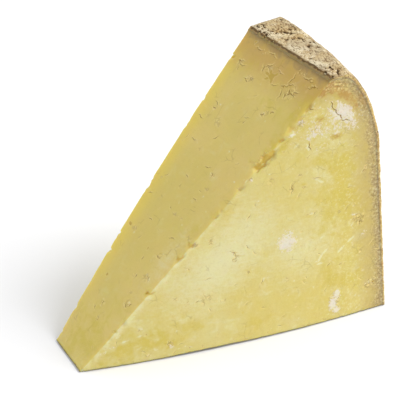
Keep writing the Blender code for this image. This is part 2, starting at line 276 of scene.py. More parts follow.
slantPale = [
    (126.9, 24.6, 2.6, 3.6, 0.55, 30), (128, 10.4, 5.2, 0.8, 0.75, -28), (113, 13, 3.2, 0.7, 0.7, -70),
    (120.2, 28, 1.2, 1.4, 0.8, 0), (84.8, 13.9, 2, 1.1, 0.5, 20), (41.8, 4.2, 1.6, 1.3, 0.9, 0),
    (42.8, 6.4, 1.2, 1, 0.8, 0), (30.9, 4.2, 1.5, 1.1, 0.9, 30), (29.4, 5.8, 1.4, 0.9, 0.8, -30),
    (51, 23.7, 1.4, 1.2, 0.6, 0), (132.2, 38.8, 1.4, 0.6, 0.6, 30), (52, 6.8, 1.3, 0.9, 0.7, 80),
    (25, 14.6, 1.4, 0.8, 0.7, 0), (22.6, 13.4, 1.2, 0.7, 0.7, 0), (119.2, 30.2, 1.3, 0.8, 0.7, 0),
    (123, 8.4, 1.2, 1.4, 0.6, 0), (90.2, 0.2, 2.2, 1.2, 1.4, 0), (52, 4, 44, 12, 0.28, 4),
]

# Marks on the front cut, in mm: along the foot from the thin edge, and up
frontPits = [
    (102.5, 40.2, 1.1, 0.8, 0.5, 50), (102.8, 60.8, 1, 0.6, 0.4, 60), (40.9, 14, 0.6, 0.5, 0.45, 0),
    (95.4, 24.1, 1.1, 0.7, 0.35, 20), (58.9, 13.2, 0.6, 0.6, 0.3, 0), (90.4, 95.6, 0.9, 0.7, 0.4, 0),
    (109, 12.3, 1.6, 0.8, 0.4, 30), (88.6, 94, 0.9, 0.7, 0.45, 0), (96.8, 93, 0.9, 0.7, 0.45, 0),
    (91.6, 97.4, 1.6, 0.8, 0.5, -30), (94.4, 95.2, 1.2, 0.8, 0.45, 20), (87, 96.6, 1.2, 0.7, 0.45, 10),
]
frontCracks = [
    (82.9, 74.8, 3.6, 0.18, -75), (76.8, 59.6, 4.6, 0.14, 82), (82.8, 89.2, 3.4, 0.14, -25),
    (56.3, 37.8, 5.4, 0.1, -33), (66, 24.4, 2.4, 0.1, 75), (102.4, 39.6, 2, 0.12, 70),
    (106.8, 12, 3, 0.1, 25), (85.8, 62, 3.2, 0.08, -12), (46.8, 29.6, 2.6, 0.08, 10),
    (103.6, 61.6, 1.8, 0.1, 75), (97.5, 47.5, 2.2, 0.08, 50), (61.5, 51.5, 2.2, 0.08, 60),
    (90, 14.5, 1.8, 0.09, 70), (99.5, 71.5, 2, 0.09, 5), (31.6, 6.4, 1.7, 0.09, 80),
]
# Cracks through the large patch of mould, which run on from one another
mouldCracks = [
    (90.4, 89.2, 3.4, 0.2, -72), (91.6, 86.8, 3.2, 0.22, -58), (93.3, 84.5, 3.6, 0.22, -52),
    (95.6, 82.5, 3.4, 0.2, -10),
]
# Loose crumbs: (along, up, length, width, strength, tilt in degrees)
frontCrumbs = [
    (102.2, 41.4, 5.6, 6.6, 1.2, 60), (107.5, 12.2, 7.6, 4.2, 1.15, 15), (93.9, 8.6, 4.4, 10, 0.9, 20),
    (75.6, 38.4, 6.4, 7, 0.55, 0), (92.5, 96.6, 12, 6, 0.6, -22), (88.4, 95.6, 4, 3, 0.7, 0),
    (32.4, 6, 2.6, 3.6, 0.8, 0), (24, 3, 4, 2, 0.5, 0), (79.6, 84.4, 4.6, 4, 0.6, 45),
    (84.6, 80.6, 8, 5, 0.55, 20), (94.6, 84.6, 9, 9, 0.5, 0), (102.9, 27.6, 2.6, 2.2, 0.55, 0),
    (62, 66, 2, 2.6, 0.75, 0), (83, 47.8, 3, 2.2, 0.45, 0), (96.6, 24, 3.2, 2.2, 0.45, 0),
    (22, 13.6, 2.4, 1.6, 0.6, 0), (56, 38, 5, 2.6, 0.45, -33), (76.8, 59.4, 2.4, 5, 0.45, 0),
    (46, 22, 12, 7, 0.3, 0), (69, 64, 5, 4, 0.35, 0), (104, 62, 3, 4, 0.45, 0),
]
# Mould, and then the stains, laid out in the same way
frontMould = [
    (94.6, 85.6, 12.5, 10, 1.25, -35), (97, 82.6, 8, 6, 0.95, -60), (91.6, 83.6, 6.4, 4, 0.75, 60),
    (96.6, 79.6, 7, 3.4, 0.66, -20), (88.4, 81, 5.6, 3, 0.62, 10), (84.6, 79.4, 7.4, 4.6, 0.92, 30),
    (91.8, 78, 5, 2.6, 0.5, 0), (79.4, 84.8, 2.8, 2.2, 0.62, 0), (76.3, 80.5, 2.6, 2.2, 0.8, 0),
    (89.5, 83, 19, 13, 0.4, 30), (75.5, 38.4, 8.6, 8.6, 1.5, 0), (94.4, 11.4, 4.2, 5.2, 1.45, 0),
    (93.2, 7.6, 4.2, 6.6, 1.45, 0), (94.6, 4.2, 3.8, 4, 1.25, 0), (104, 35, 2.4, 3.4, 0.8, -20),
    (99.9, 43.8, 2.4, 1.6, 0.5, 0), (112.5, 12.4, 2.2, 1.3, 0.75, 0), (32.5, 5, 2, 2, 0.66, 0),
    (24, 2.6, 2.8, 1.3, 0.66, 0), (8.4, 6.4, 2.6, 1.4, 0.46, 0), (12.5, 8.2, 2.6, 1.1, 0.56, 0),
    (107, 12.5, 4.6, 1.4, 0.36, 15), (62.3, 66, 1.4, 1.9, 1, 0), (22, 13.9, 1.8, 1, 0.6, 0),
]
# Where the front cut is a deeper, oilier yellow
frontAmber = [
    (103.6, 44.6, 4.2, 2.8, 1.1, 0), (101.6, 37, 2.8, 2.8, 0.6, 0), (81.2, 60.5, 4.4, 1.3, 0.95, -8),
    (47.3, 18.4, 1.9, 1.4, 0.8, 0), (58.8, 13.2, 1, 1, 1.3, 0), (80.9, 25, 0.8, 0.8, 1.2, 0),
    (90.8, 94.4, 16, 7.5, 1.35, -25), (86.2, 84.8, 6.6, 3.2, 1, 12), (92, 76.8, 9, 4.2, 1.05, 0),
    (20, 8.4, 15, 5, 0.55, 14), (27, 4.8, 14, 3, 0.5, 0), (16, 13, 8, 3, 0.45, 45),
    (103, 64, 9, 22, 0.42, 0), (98, 20, 22, 22, 0.55, 10), (74.4, 77.4, 9, 3.6, 0.75, 47),
    (94.6, 66, 26, 28, 0.8, 0), (102, 36.7, 5, 5, 0.7, 0), (81, 82.4, 8, 3, 0.55, 47),
    (100, 88, 5, 8, 0.5, 30), (68, 73.6, 7, 1.6, 0.5, 47), (24, 8, 40, 14, 0.8, 12),
    (96, 54, 24, 46, 0.72, 0), (86, 68, 16, 9, 0.3, 0), (35, 20, 3, 2, 0.4, 0), (66, 8, 18, 4, 0.3, 8),
]
# Where the front cut has dried brown, mostly next to the crust's end
frontBrown = [
    (90.6, 96, 10, 7, 1.6, -30), (94.6, 92.6, 10, 5, 1.2, -50), (86.6, 94.6, 5, 4.4, 1.2, 0),
    (98.6, 87.6, 8, 4, 0.7, -60), (86.6, 84.6, 5.4, 2.4, 0.62, 10), (92.4, 77, 7, 2.8, 0.55, 0),
    (102.6, 89.4, 12, 6.6, 0.9, -52), (107.4, 78, 13, 5, 0.8, -72),
]
# Where it is scratched or worn pale
frontPale = [
    (52, 36, 78, 36, 0.58, 42), (60, 50, 44, 16, 0.3, 44), (78, 33, 46, 36, 0.36, 10),
    (55.4, 38.6, 3, 1.1, 1.9, -30), (95.7, 30.6, 4.8, 0.9, 2.3, 46), (99.2, 33.6, 4.6, 0.8, 2.1, 33),
    (87.6, 28.7, 3.8, 0.9, 2, 66), (89.6, 31.4, 4, 0.8, 1.8, 38), (87.6, 26.6, 3, 0.8, 1.6, 0),
    (16.9, 10, 3.8, 0.9, 2, 12), (21.4, 11.1, 3, 0.9, 2, 10), (24.2, 10.2, 3.4, 0.9, 2, -36),
    (21.2, 6.2, 2.6, 0.9, 1.9, 14), (24, 6, 3.6, 0.9, 1.9, -20), (27.2, 4.7, 2.8, 0.9, 1.6, -14),
    (14.4, 12.2, 3.4, 0.9, 1.4, 30), (17.1, 5.5, 1.4, 0.8, 0.8, 0), (90.2, 55.8, 0.9, 0.8, 1.2, 0),
    (86.8, 60.6, 5, 1, 1.4, -35), (102.9, 27.2, 1, 0.9, 1.2, 0), (104.6, 18.8, 1.6, 1, 2, 0),
    (107.4, 13.2, 4.4, 0.8, 2, 22), (66.5, 25, 2.8, 0.9, 1.6, 70), (84, 48, 2.4, 1, 1.6, 0),
    (62.8, 30, 1.2, 0.8, 0.6, 0), (82.2, 74.6, 3.4, 0.8, 1.9, -75), (92.4, 97.6, 2.4, 1.2, 1, -20),
    (95.6, 96.4, 2, 1.2, 1.5, -40), (89.6, 97.4, 1.6, 1.1, 1.5, 0), (86, 93.6, 2.2, 1.2, 1, 40),
    (99.6, 40, 2.2, 0.9, 1.9, 60), (84.8, 86, 4.4, 2.8, 0.5, 30), (78.2, 76, 4, 1.6, 0.5, 47),
    (71.6, 76.8, 4.6, 1.4, 0.6, 47), (95.6, 59.6, 4, 0.9, 1.1, -30), (97, 66.4, 3, 0.9, 1.1, 20),
    (100.6, 52.4, 3.4, 0.9, 1.4, 60), (98, 56, 2.6, 0.9, 1.1, -15),
]
# Crumbs missing along the edge between the slanted and the front cut, in mm:
# (along the slanted cut, length, reach over the slanted cut, reach over the front cut, depth)
ridgeChips = [
    (96.4, 6.4, 3.8, 2.2, 0.95), (100.2, 6.4, 2.8, 2.8, 1), (103, 4, 1.5, 2.2, 0.75),
    (113.4, 5.5, 1, 1.6, 0.5), (86.4, 3.2, 0.9, 0.9, 0.35), (74, 3.6, 0.7, 0.9, 0.3),
    (60.6, 3.4, 2.2, 1.4, 0.65), (54.6, 5, 2.2, 1.1, 0.6), (37.9, 3.8, 2.2, 1.4, 0.65),
    (16.2, 2.8, 0.8, 0.9, 0.3), (122.4, 4.2, 0.9, 1.1, 0.5), (46.5, 2.4, 0.7, 0.7, 0.35),
    (108.4, 3, 0.9, 1.2, 0.55), (118, 3, 0.8, 1.3, 0.5),
]
# And along the slanted cut's edge with the back cut
backChips = [
    (123.2, 1.1, 2.6, 2.6, 1.9), (93.2, 2.4, 1, 1.2, 0.55), (67.5, 3.2, 1.2, 1.2, 0.7),
    (47.2, 1.3, 1.6, 2.2, 0.95), (39.8, 1.3, 1.8, 2.2, 1), (14.9, 2.8, 1.1, 1.1, 0.55),
]

# Marks guessed for the back cut, which the photo doesn't show, laid out as those of the front
backMould = [
    (88, 70, 12, 9, 0.9, 30), (60, 30, 7, 6, 0.8, 0), (98, 22, 5, 9, 0.9, 15), (76, 52, 3, 3, 0.7, 0),
]
backAmber = [(95, 88, 9, 6, 0.8, -30), (100, 45, 5, 3, 0.8, 0), (30, 12, 16, 5, 0.5, 15)]
backCrumbs = [(88, 66, 6, 8, 0.7, 0), (60, 30, 6, 6, 0.6, 0), (34, 9, 5, 4, 0.7, 0), (70, 60, 5, 3, 0.5, 30)]
backPale = [(50, 36, 60, 26, 0.6, 42)]
# Each cut's pits, cracks, crumbs, mould, amber, pale and brown
cutMarks = {
    frontCut: (
        frontPits, frontCracks + mouldCracks, frontCrumbs, frontMould, frontAmber, frontPale, frontBrown,
    ),
    backCut: ([], [], backCrumbs, backMould, backAmber, backPale, []),
    slantCut: (slantPits, slantCracks, slantCrumbs, [], slantAmber, slantPale, []),
    levelCut: ([], [], [], [], [], [], []),
}
# Small marks scattered over each cut: seed, area in mm, and how many pits, cracks, crumbs and pale flecks
scatter = {
    frontCut: (21, (115, 100), (90, 56, 50, 220)),
    backCut: (22, (115, 100), (90, 70, 60, 150)),
    slantCut: (23, (135, 46), (34, 18, 16, 44)),
    levelCut: (24, (115, 50), (50, 40, 20, 60)),
}
# What each mark's attribute is far away from any mark
noMarks = {
    "pit": -3.0, "crackSide": 3.0, "crackHalf": -3.0, "mould": -1.0, "amber": -1.0, "pale": -1.0,
    "crumble": -1.0, "brown": -1.0, "chip": 0.0, "glow": 0.0,
}
# How the marks are drawn, in mm or as shares of their own size
markShape = {
    "pitRim": (0.9, 0.25),             # size of the noise on the rim, and its share of the pit's width
    "pitWall": (-0.15, 0.45),          # from here outside the rim down to this share of the width
    "crackWaves": (0.07, 0.9, 0.37),   # swing, long and short wave, as shares of the length
    "crackEnd": (0.9, 0.8),            # past this distance a crack closes by this much each mm
    "patchRough": ((0.55, 2.4), (0.4, 0.95)),  # strength and size of the two noises in a patch
    "wholePatch": 1.25,                # a patch's height in its middle, for a strength of 1
    "wideNoise": 12.0,                 # wider patches than this have less noise
}


def turnedOffset(place, along, across, tilt):
    # Offsets from a mark's middle, turned into its own length and width: the plane's rotation by -tilt
    turn = math.radians(tilt)
    shifted = place - (along, across)
    return np.column_stack([
        shifted[:, 0] * math.cos(turn) + shifted[:, 1] * math.sin(turn),
        shifted[:, 1] * math.cos(turn) - shifted[:, 0] * math.sin(turn),
    ])


def ellipseReach(turned, length, width):
    # Distance from an ellipse's middle as a share of the way to its rim: |(a / half length, b / half width)|
    return np.hypot(turned[:, 0] / (length / 2), turned[:, 1] / (width / 2))


def pitField(place, pits, seed):
    # How far a place is inside the nearest pit, in mm: (1 - reach) * half width with a noisy rim, and the
    # pit's depth there
    size, share = markShape["pitRim"]
    outside, wall = markShape["pitWall"]
    wobble = gradientNoise(np.column_stack([place, np.zeros(len(place))]), size, seed)
    field = np.full(len(place), noMarks["pit"])
    depth = np.zeros(len(place))
    for along, across, length, width, deep, tilt in pits:
        narrow = min(length, width)
        reach = ellipseReach(turnedOffset(place, along, across, tilt), length, width)
        inside = (1 - reach) * narrow / 2 + share * narrow * wobble
        field = np.maximum(field, inside)
        depth = np.maximum(depth, deep * ease(outside, wall * narrow, inside))
    return field, depth


def crackField(place, cracks, seed):
    # A crack is a wavy line b = w sin(ka + p) + w/2 sin(k'a + p'). Returned are the signed distance to
    # the nearest one and its half width there, which goes negative past its ends and away from it
    swing, longWave, shortWave = markShape["crackWaves"]
    far, closing = markShape["crackEnd"]
    limit = noMarks["crackSide"]
    draw = np.random.default_rng(seed)
    side = np.full(len(place), limit)
    half = np.full(len(place), -limit)
    best = np.full(len(place), -2 * limit)
    for along, across, length, width, tilt in cracks:
        phase = draw.uniform(0, 2 * math.pi, 2)
        a, b = turnedOffset(place, along, across, tilt).T
        wave = swing * length * (np.sin(2 * math.pi * a / (longWave * length) + phase[0])
                                 + 0.5 * np.sin(2 * math.pi * a / (shortWave * length) + phase[1]))
        distance = b - wave
        gape = width * (1 - (2 * a / length) ** 2) - closing * np.maximum(np.abs(distance) - far, 0)
        gape = np.maximum(gape, -limit)
        score = gape - np.abs(distance)
        nearer = score > best
        best = np.where(nearer, score, best)
        side = np.where(nearer, np.clip(distance, -limit, limit), side)
        half = np.where(nearer, gape, half)
    return side, half


def patchField(place, patches, seed):
    # Soft patches: strength * 1.25 (1 - reach), with two sizes of noise added
    flat = np.column_stack([place, np.full(len(place), 0.5)])
    layers = [(strength, size, seed + k) for k, (strength, size) in enumerate(markShape["patchRough"])]
    rough = noiseSum(flat, layers)
    field = np.full(len(place), noMarks["mould"])
    for along, across, length, width, strength, tilt in patches:
        reach = ellipseReach(turnedOffset(place, along, across, tilt), length, width)
        uneven = rough * min(1.0, markShape["wideNoise"] / width) * (reach < 2)
        field = np.maximum(field, strength * (markShape["wholePatch"] * (1 - reach) + uneven))
    return np.clip(field, -1, 1.5)


def scatterMarks(seed, area, counts):
    # Small marks at random over a rectangle, with sizes in mm: pits, cracks, crumbs and pale flecks
    draw = np.random.default_rng(seed)

    def somewhere(count):
        # place, two numbers from 0 to 1 for the sizes, and tilt
        highs = (area[0], area[1], 1, 1, 180)
        return zip(*[draw.uniform(0, high, count) for high in highs])

    pitCount, crackCount, crumbCount, fleckCount = counts
    pits = [(x, y, 0.4 + 0.6 * a, 0.3 + 0.4 * b, 0.15 + 0.2 * a, t) for x, y, a, b, t in somewhere(pitCount)]
    cracks = [(x, y, 0.9 + 1.3 * a, 0.05 + 0.05 * b, t) for x, y, a, b, t in somewhere(crackCount)]
    crumbs = [(x, y, 1.5 + 3 * a, 1.2 + 2 * b, 0.3 + 0.3 * a, t) for x, y, a, b, t in somewhere(crumbCount)]
    flecks = [(x, y, 0.5 + a, 0.4 + 0.4 * b, 0.4 + 0.5 * a, t) for x, y, a, b, t in somewhere(fleckCount)]
    return pits, cracks, crumbs, flecks


def surfaceGaps(points, out, up, across, inset):
    # Distances in mm from a point to the skin and to the slanted, front, back and level cuts
    radius = np.hypot(points[:, 0] + axisOffset, points[:, 1])
    _, foot, _, slope = cutLine(across)
    bow = 4 * out * (1 - out) * (cuts["ridgeBow"] * (1 - across) + cuts["backEdgeBow"] * across)
    toSlant = (radius - foot) * np.sin(slope) - points[:, 2] * np.cos(slope) + bow
    _, skinRadius, skinHeight = drumSkin(0.0)
    toSkin = np.interp(points[:, 2], skinHeight, skinRadius) - radius
    for ring in range(1, len(skinRadius)):
        toSkin = np.minimum(toSkin, np.hypot(skinRadius[ring] - radius, skinHeight[ring] - points[:, 2]))
    overTop = np.where(radius < skinRadius[-1], cuts["height"] - points[:, 2], 1.0)
    toSkin = np.minimum(toSkin, overTop)
    toFront = np.linalg.norm(points - wedgePoint(out, up, 0.0, inset), axis=1)
    toBack = np.linalg.norm(points - wedgePoint(out, up, 1.0, inset), axis=1)
    gaps = np.column_stack([toSkin, toSlant, toFront, toBack, points[:, 2]])
    return np.maximum(gaps, 0) / mm


def makeMesh(name, points, faces):
    # A mesh object at the origin from its points and faces
    mesh = bpy.data.meshes.new(name)
    mesh.from_pydata(points.tolist(), [], faces)
    mesh.update()
    made = bpy.data.objects.new(name, mesh)
    bpy.context.scene.collection.objects.link(made)
    return made


def setPoints(made, points):
    # Moves every point, taken from the drum's frame to the part's: P - centre, held inside the solid's box
    inBox = np.clip(points - centre, np.array(cadBox[0]), np.array(cadBox[1]))
    made.data.vertices.foreach_set("co", inBox.ravel())
    made.data.update()


def setAttribute(made, name, values):
    # One number for each point, which the materials read by name
    made.data.attributes.new(name, "FLOAT", "POINT").data.foreach_set("value", values.astype(np.float32))


def quadFaces(grid, flip):
    # Squares between the points of a grid: rows k and k + 1, columns l and l + 1
    ring = [grid[:-1, :-1], grid[1:, :-1], grid[1:, 1:], grid[:-1, 1:]]
    if flip:
        ring = ring[::-1]
    return np.stack(ring, axis=-1).reshape(-1, 4).tolist()


def joinFaces(fine, coarse, flip):
    # Faces between a row of many points and a row of few: each takes the fine points of one coarse step
    step = (len(fine) - 1) // (len(coarse) - 1)
    rings = []
    for k in range(len(coarse) - 1):
        ring = [int(i) for i in (*fine[k * step:(k + 1) * step + 1], coarse[k + 1], coarse[k])]
        rings.append(ring[::-1] if flip else ring)
    return rings


# How finely the pieces are divided: a triangle of the paste is about 0.45 mm, of the crust 0.3 mm. The
# paste lies 0.8 mm under the drum's skin, inside the crust, which is 1.5 mm thick
pasteGrid = {"rows": 256, "columns": 104, "hiddenColumns": 8, "inset": 0.8}
crustGrid = {"rows": 376, "columns": 176, "hiddenColumns": 8, "thickness": 1.5}


def gridShares(used, rows, columns):
    # How far along and across a grid its points lie, k / n, for the rows used and all but the end columns
    return np.meshgrid(np.array(used) / rows, np.arange(1, columns) / columns, indexing="ij")


def fanFaces(start, rows, flip):
    # Triangles between row i (i + 1 points) and row i + 1 of a radial cut, thin edge first
    i = np.repeat(np.arange(rows), np.arange(1, rows + 1))
    j = np.concatenate([np.arange(row + 1) for row in range(rows)])
    near = start + i * (i + 1) // 2 + j
    far = start + (i + 1) * (i + 2) // 2 + j
    wide = np.column_stack([near, far, far + 1])
    slim = np.column_stack([near, far + 1, near + 1])[j < i]
    faces = np.concatenate([wide, slim])
    return (faces[:, ::-1] if flip else faces).tolist()


def pasteShape():
    # Points and faces of the block under the crust: two fans of rows (i + 1 points in row i) for the
    # radial cuts, a grid for the slanted cut, and coarse grids for the level cut and under the crust
    rows, columns, few = (pasteGrid[k] for k in ("rows", "columns", "hiddenColumns"))
    inset = pasteGrid["inset"] * mm
    i = np.repeat(np.arange(rows + 1), np.arange(1, rows + 2))
    j = np.concatenate([np.arange(row + 1) for row in range(rows + 1)])
    fanOut, fanUp = i / rows, j / np.maximum(i, 1)
    fan = len(i)
    slantOut, slantAcross = gridShares(range(rows + 1), rows, columns)
    footOut, footAcross = gridShares(range(1, rows + 1), rows, few)
    hideUp, hideAcross = gridShares(range(1, rows), rows, few)
    out = np.concatenate([fanOut, fanOut, slantOut.ravel(), footOut.ravel(), np.ones(hideUp.size)])
    up = np.concatenate([fanUp, fanUp, np.ones(slantOut.size), np.zeros(footOut.size), hideUp.ravel()])
    grids = [grid.ravel() for grid in (slantAcross, footAcross, hideAcross)]
    across = np.concatenate([np.zeros(fan), np.ones(fan)] + grids)
    up[[0, fan]] = 1.0
    # which point stands at each place of the grids that share their rims with the fans
    row = np.arange(rows + 1)
    rowStart = row * (row + 1) // 2
    slant = np.empty((rows + 1, columns + 1), dtype=int)
    slant[:, 0], slant[:, -1] = rowStart + row, fan + rowStart + row
    slant[:, 1:-1] = 2 * fan + np.arange(slantOut.size).reshape(slantOut.shape)
    foot = np.empty((rows + 1, few + 1), dtype=int)
    foot[:, 0], foot[:, -1] = rowStart, fan + rowStart
    foot[0] = slant[0, ::columns // few]
    foot[1:, 1:-1] = 2 * fan + slantOut.size + np.arange(footOut.size).reshape(footOut.shape)
    hidden = np.empty((rows + 1, few + 1), dtype=int)
    hidden[:, 0], hidden[:, -1] = rowStart[-1] + row, fan + rowStart[-1] + row
    hidden[0], hidden[-1] = foot[-1], slant[-1, ::columns // few]
    hidden[1:-1, 1:-1] = 2 * fan + slantOut.size + footOut.size + np.arange(hideUp.size).reshape(hideUp.shape)
    faces = fanFaces(0, rows, False) + fanFaces(fan, rows, True) + quadFaces(slant, False)
    faces += quadFaces(foot[1:], True) + joinFaces(slant[0], foot[1], False)
    faces += quadFaces(hidden[:-1], True) + joinFaces(slant[-1], hidden[-2], True)
    kinds = (frontCut, backCut, slantCut, levelCut, underCrust)
    kind = np.repeat(kinds, (fan, fan, slantOut.size, footOut.size, hideUp.size))
    return wedgePoint(out, up, across, inset), faces, out, up, across, kind


def chipDepth(points, along, nearEdge, overSlant, chips):
    # Depth of the crumbs missing along an edge: each is an ellipse round a place on the edge, with a
    # ragged rim from two sizes of noise
    depth = np.zeros(len(along))
    ragged = noiseSum(points / mm, cutFinish["chipRim"])
    outside, wall = cutFinish["chipWall"]
    for place, length, slantReach, sideReach, deep in chips:
        reach = np.where(overSlant, slantReach, sideReach)
        inside = 1 - np.hypot((along - place) / (length / 2), nearEdge / reach)
        inside = inside + ragged * (inside > outside)
        depth = np.maximum(depth, deep * ease(0.0, wall, inside))
    return depth


def cutRelief(points, out, across, kind, gaps, marks):
    # How far, in mm, a cut face stands out of its plain form at each point: noise of several sizes,
    # less the worn edges, the missing crumbs, the pits and the cracks
    at = points / mm
    onSlant = kind == slantCut
    relief = noiseSum(at, cutFinish["grain"])
    depth, size, share = cutFinish["tears"]
    bend, bendSize, placeSize = cutFinish["tearBend"]
    net = np.abs(gradientNoise(at + bend * gradientNoise(at, bendSize, 8)[:, None], size, 7))
    where = ease(*cutFinish["tearPlaces"], gradientNoise(at, placeSize, 9))
    relief -= depth * where * (1 - ease(0, share, net))
    high, deep, size, share = cutFinish["crumble"]
    full, ratio = cutFinish["looseCrumbs"]
    loose = ease(0.0, full, marks["crumble"])
    gaping = 1 - ease(0, share, np.abs(gradientNoise(at, size, 11)))
    crumbs = high * gradientNoise(at, size * ratio, 12) - deep * gaping
    relief += loose * np.where(onSlant, *cutFinish["crumbShare"]) * crumbs
    # an edge wears away, but not where the crust carries the face on
    edge = np.where(onSlant, np.sort(gaps, axis=1)[:, 1], np.sort(gaps[:, 1:], axis=1)[:, 1])
    depth, reach = cutFinish["edgeRounding"]
    relief -= depth * np.exp(-edge / reach)
    depth, size, reach = cutFinish["edgeCrumbling"]
    where = ease(*cutFinish["edgePlaces"], gradientNoise(at, size, 10))
    relief -= depth * where * np.exp(-(edge / reach) ** 2)
    depth, reach, size, start, full = cutFinish["softRidge"]
    toRidge = np.where(onSlant, gaps[:, 2], gaps[:, 1])
    upper = ease(start, full, out * ridgeLength / mm) * np.isin(kind, (frontCut, slantCut)) * (across < 0.5)
    even, strength = cutFinish["ridgeDents"]
    dents = even + strength * gradientNoise(at, size, 13)
    relief -= upper * depth * dents * np.exp(-(toRidge / reach) ** 2)
    relief -= marks["chip"]
    gape = ease(*cutFinish["crackMouth"], marks["crackHalf"])
    toMiddle = np.abs(marks["crackSide"])
    cleft = np.where(onSlant, *cutFinish["cleft"]) * gape * (1 - ease(*cutFinish["crackWall"], toMiddle))
    relief -= np.where(onSlant, *cutFinish["pitShare"]) * marks["depth"] + cleft
    rise, reach = cutFinish["flap"]
    relief += rise * gape * (marks["crackSide"] > 0) * np.exp(-toMiddle / reach)
    return relief + cutFinish["mouldRise"] * ease(*cutFinish["mouldPlaces"], marks["mould"])


def faceMarks(points, out, across, kind, gaps):
    # Pits, cracks, crumbs, mould and stains of every face, each in the face's own coordinates in mm
    marks = {name: np.full(len(points), value) for name, value in noMarks.items()}
    marks["depth"] = np.zeros(len(points))
    width = np.linalg.norm(wedgePoint(out, 1.0, 1.0) - wedgePoint(out, 1.0, 0.0), axis=1) / mm
    along = out * ridgeLength / mm
    turned = np.hypot(points[:, 0] + axisOffset, points[:, 1]) / mm - cuts["backFootRadius"] / mm
    places = {
        frontCut: points[:, [0, 2]] / mm,
        backCut: np.column_stack([turned, points[:, 2] / mm]),
        slantCut: np.column_stack([along, across * width]),
        levelCut: points[:, [0, 1]] / mm,
    }
    for face, (pits, cracks, crumbs, mould, amber, pale, brown) in cutMarks.items():
        here = np.flatnonzero(kind == face)
        place = places[face][here]
        morePits, moreCracks, moreCrumbs, flecks = scatterMarks(*scatter[face])
        marks["pit"][here], marks["depth"][here] = pitField(place, pits + morePits, 30 + face)
        marks["crackSide"][here], marks["crackHalf"][here] = crackField(place, cracks + moreCracks, 40 + face)
        patches = {
            "crumble": (crumbs + moreCrumbs, 80), "amber": (amber, 50), "pale": (pale + flecks, 60),
            "mould": (mould, 70), "brown": (brown, 75),
        }
        for name, (ellipses, seed) in patches.items():
            marks[name][here] = patchField(place, ellipses, seed + face)
    overSlant = kind == slantCut
    marks["chip"] = np.where(
        across < 0.5,
        chipDepth(points, along, np.where(overSlant, gaps[:, 2], gaps[:, 1]), overSlant, ridgeChips),
        chipDepth(points, along, np.where(overSlant, gaps[:, 3], gaps[:, 1]), overSlant, backChips),
    ) * (kind != levelCut)
    # the pale arris between the slanted and the front cut, along its lower half: a painted highlight of the
    # edge, on paste that is drier there
    reach, start, full = cutFinish["paleArrisHighlight"]
    share, strength, size = cutFinish["paleUneven"]
    paleArrisHighlight = np.exp(-(gaps[:, 1] / reach) ** 2) * ease(start, full, along) * (kind == frontCut)
    paleArrisHighlight *= share + strength * gradientNoise(points / mm, size, 91)
    marks["pale"] = np.maximum(marks["pale"], paleArrisHighlight)
    # painted light: the thin edge at the back, which lets light through, is painted a purer yellow as a glow
    reach, full = cutFinish["glow"]
    marks["glow"] = np.exp(-(gaps[:, 3] / reach) ** 2) * ease(0, full, along) * overSlant
    return marks


def cutDirections(across, kind, gaps):
    # Which way the relief moves each point: the cut's own normal, plus those of the cuts it meets,
    # each times exp(-(distance / reach)^2), so that an edge is worn along its bisector and never folds
    angle, _, _, slope = cutLine(across)
    slant = np.column_stack([-np.sin(slope) * np.cos(angle), -np.sin(slope) * np.sin(angle), np.cos(slope)])
    turn = cuts["wedgeAngle"]
    normals = (slant, np.array([0.0, -1.0, 0.0]), np.array([-math.sin(turn), math.cos(turn), 0.0]))
    total = np.zeros((len(kind), 3))
    for normal, own, column in zip(normals, (slantCut, frontCut, backCut), (1, 2, 3)):
        share = np.where(kind == own, 1.0, np.exp(-(gaps[:, column] / cutFinish["edgeTurn"]) ** 2))
        total += share[:, None] * normal
    return total / np.linalg.norm(total, axis=1, keepdims=True)


def footLift(points, kind, gaps):
    # The lower edges stand off the board, by a lift that fades up the cuts as exp(-height / reach). The
    # front's is largest near the place that cutFinish names, and less towards both ends
    least, more, start, reach = cutFinish["footLift"]
    before, after = cutFinish["footRise"]
    upward, inward = cutFinish["liftFade"]
    past = points[:, 0] / mm - start
    front = least + more * ease(-before, after, past) * np.exp(-(np.maximum(past, 0) / reach) ** 2)
    isFront = (kind == frontCut) | (kind == levelCut)
    lift = np.where(isFront, front, cutFinish["backLift"]) + noiseSum(points / mm, cutFinish["liftUneven"])
    under = np.exp(-(gaps[:, 2] / inward) ** 2) * (kind == levelCut)
    return np.where(kind < levelCut, 1.0, under) * lift * np.exp(-gaps[:, 4] / upward) * mm


def makePaste():
    # The plain block, each point moved along its cut's normal by the relief there: P + n * relief
    points, faces, out, up, across, kind = pasteShape()
    paste = makeMesh("cheesePaste", points, faces)
    gaps = surfaceGaps(points, out, up, across, pasteGrid["inset"] * mm)
    marks = faceMarks(points, out, across, kind, gaps)
    relief = cutRelief(points, out, across, kind, gaps, marks)
    toSkin = gaps[:, 0]
    depth, far, near = cutFinish["underLip"]
    relief -= depth * ease(far, near, toSkin) * (kind == slantCut)
    # flush with the crust's own cut edge, where that carries the face on
    sunk, near, far = cutFinish["besideCrust"]
    relief = np.where(kind < slantCut, -sunk + (relief + sunk) * ease(near, far, toSkin), relief)
    relief[kind > slantCut] = 0.0
    moved = points + cutDirections(across, kind, gaps) * relief[:, None] * mm
    level = kind == levelCut
    moved[:, 2] = np.where(level, 0.0, np.maximum(moved[:, 2], 0.0)) + footLift(points, kind, gaps)
    setPoints(paste, moved)
    for name in noMarks:
        setAttribute(paste, name, marks[name])
    setAttribute(paste, "skinDepth", toSkin)
    setAttribute(paste, "onSlant", (kind == slantCut).astype(float))
    # where the painted contact shadow falls: all of the underside, and the lowest half millimetre or so of
    # the cuts
    setAttribute(paste, "foot", np.where(level, 1.0, np.exp(-(gaps[:, 4] / footShadowReach) ** 2)))
    paste.data.shade_smooth()
    return paste


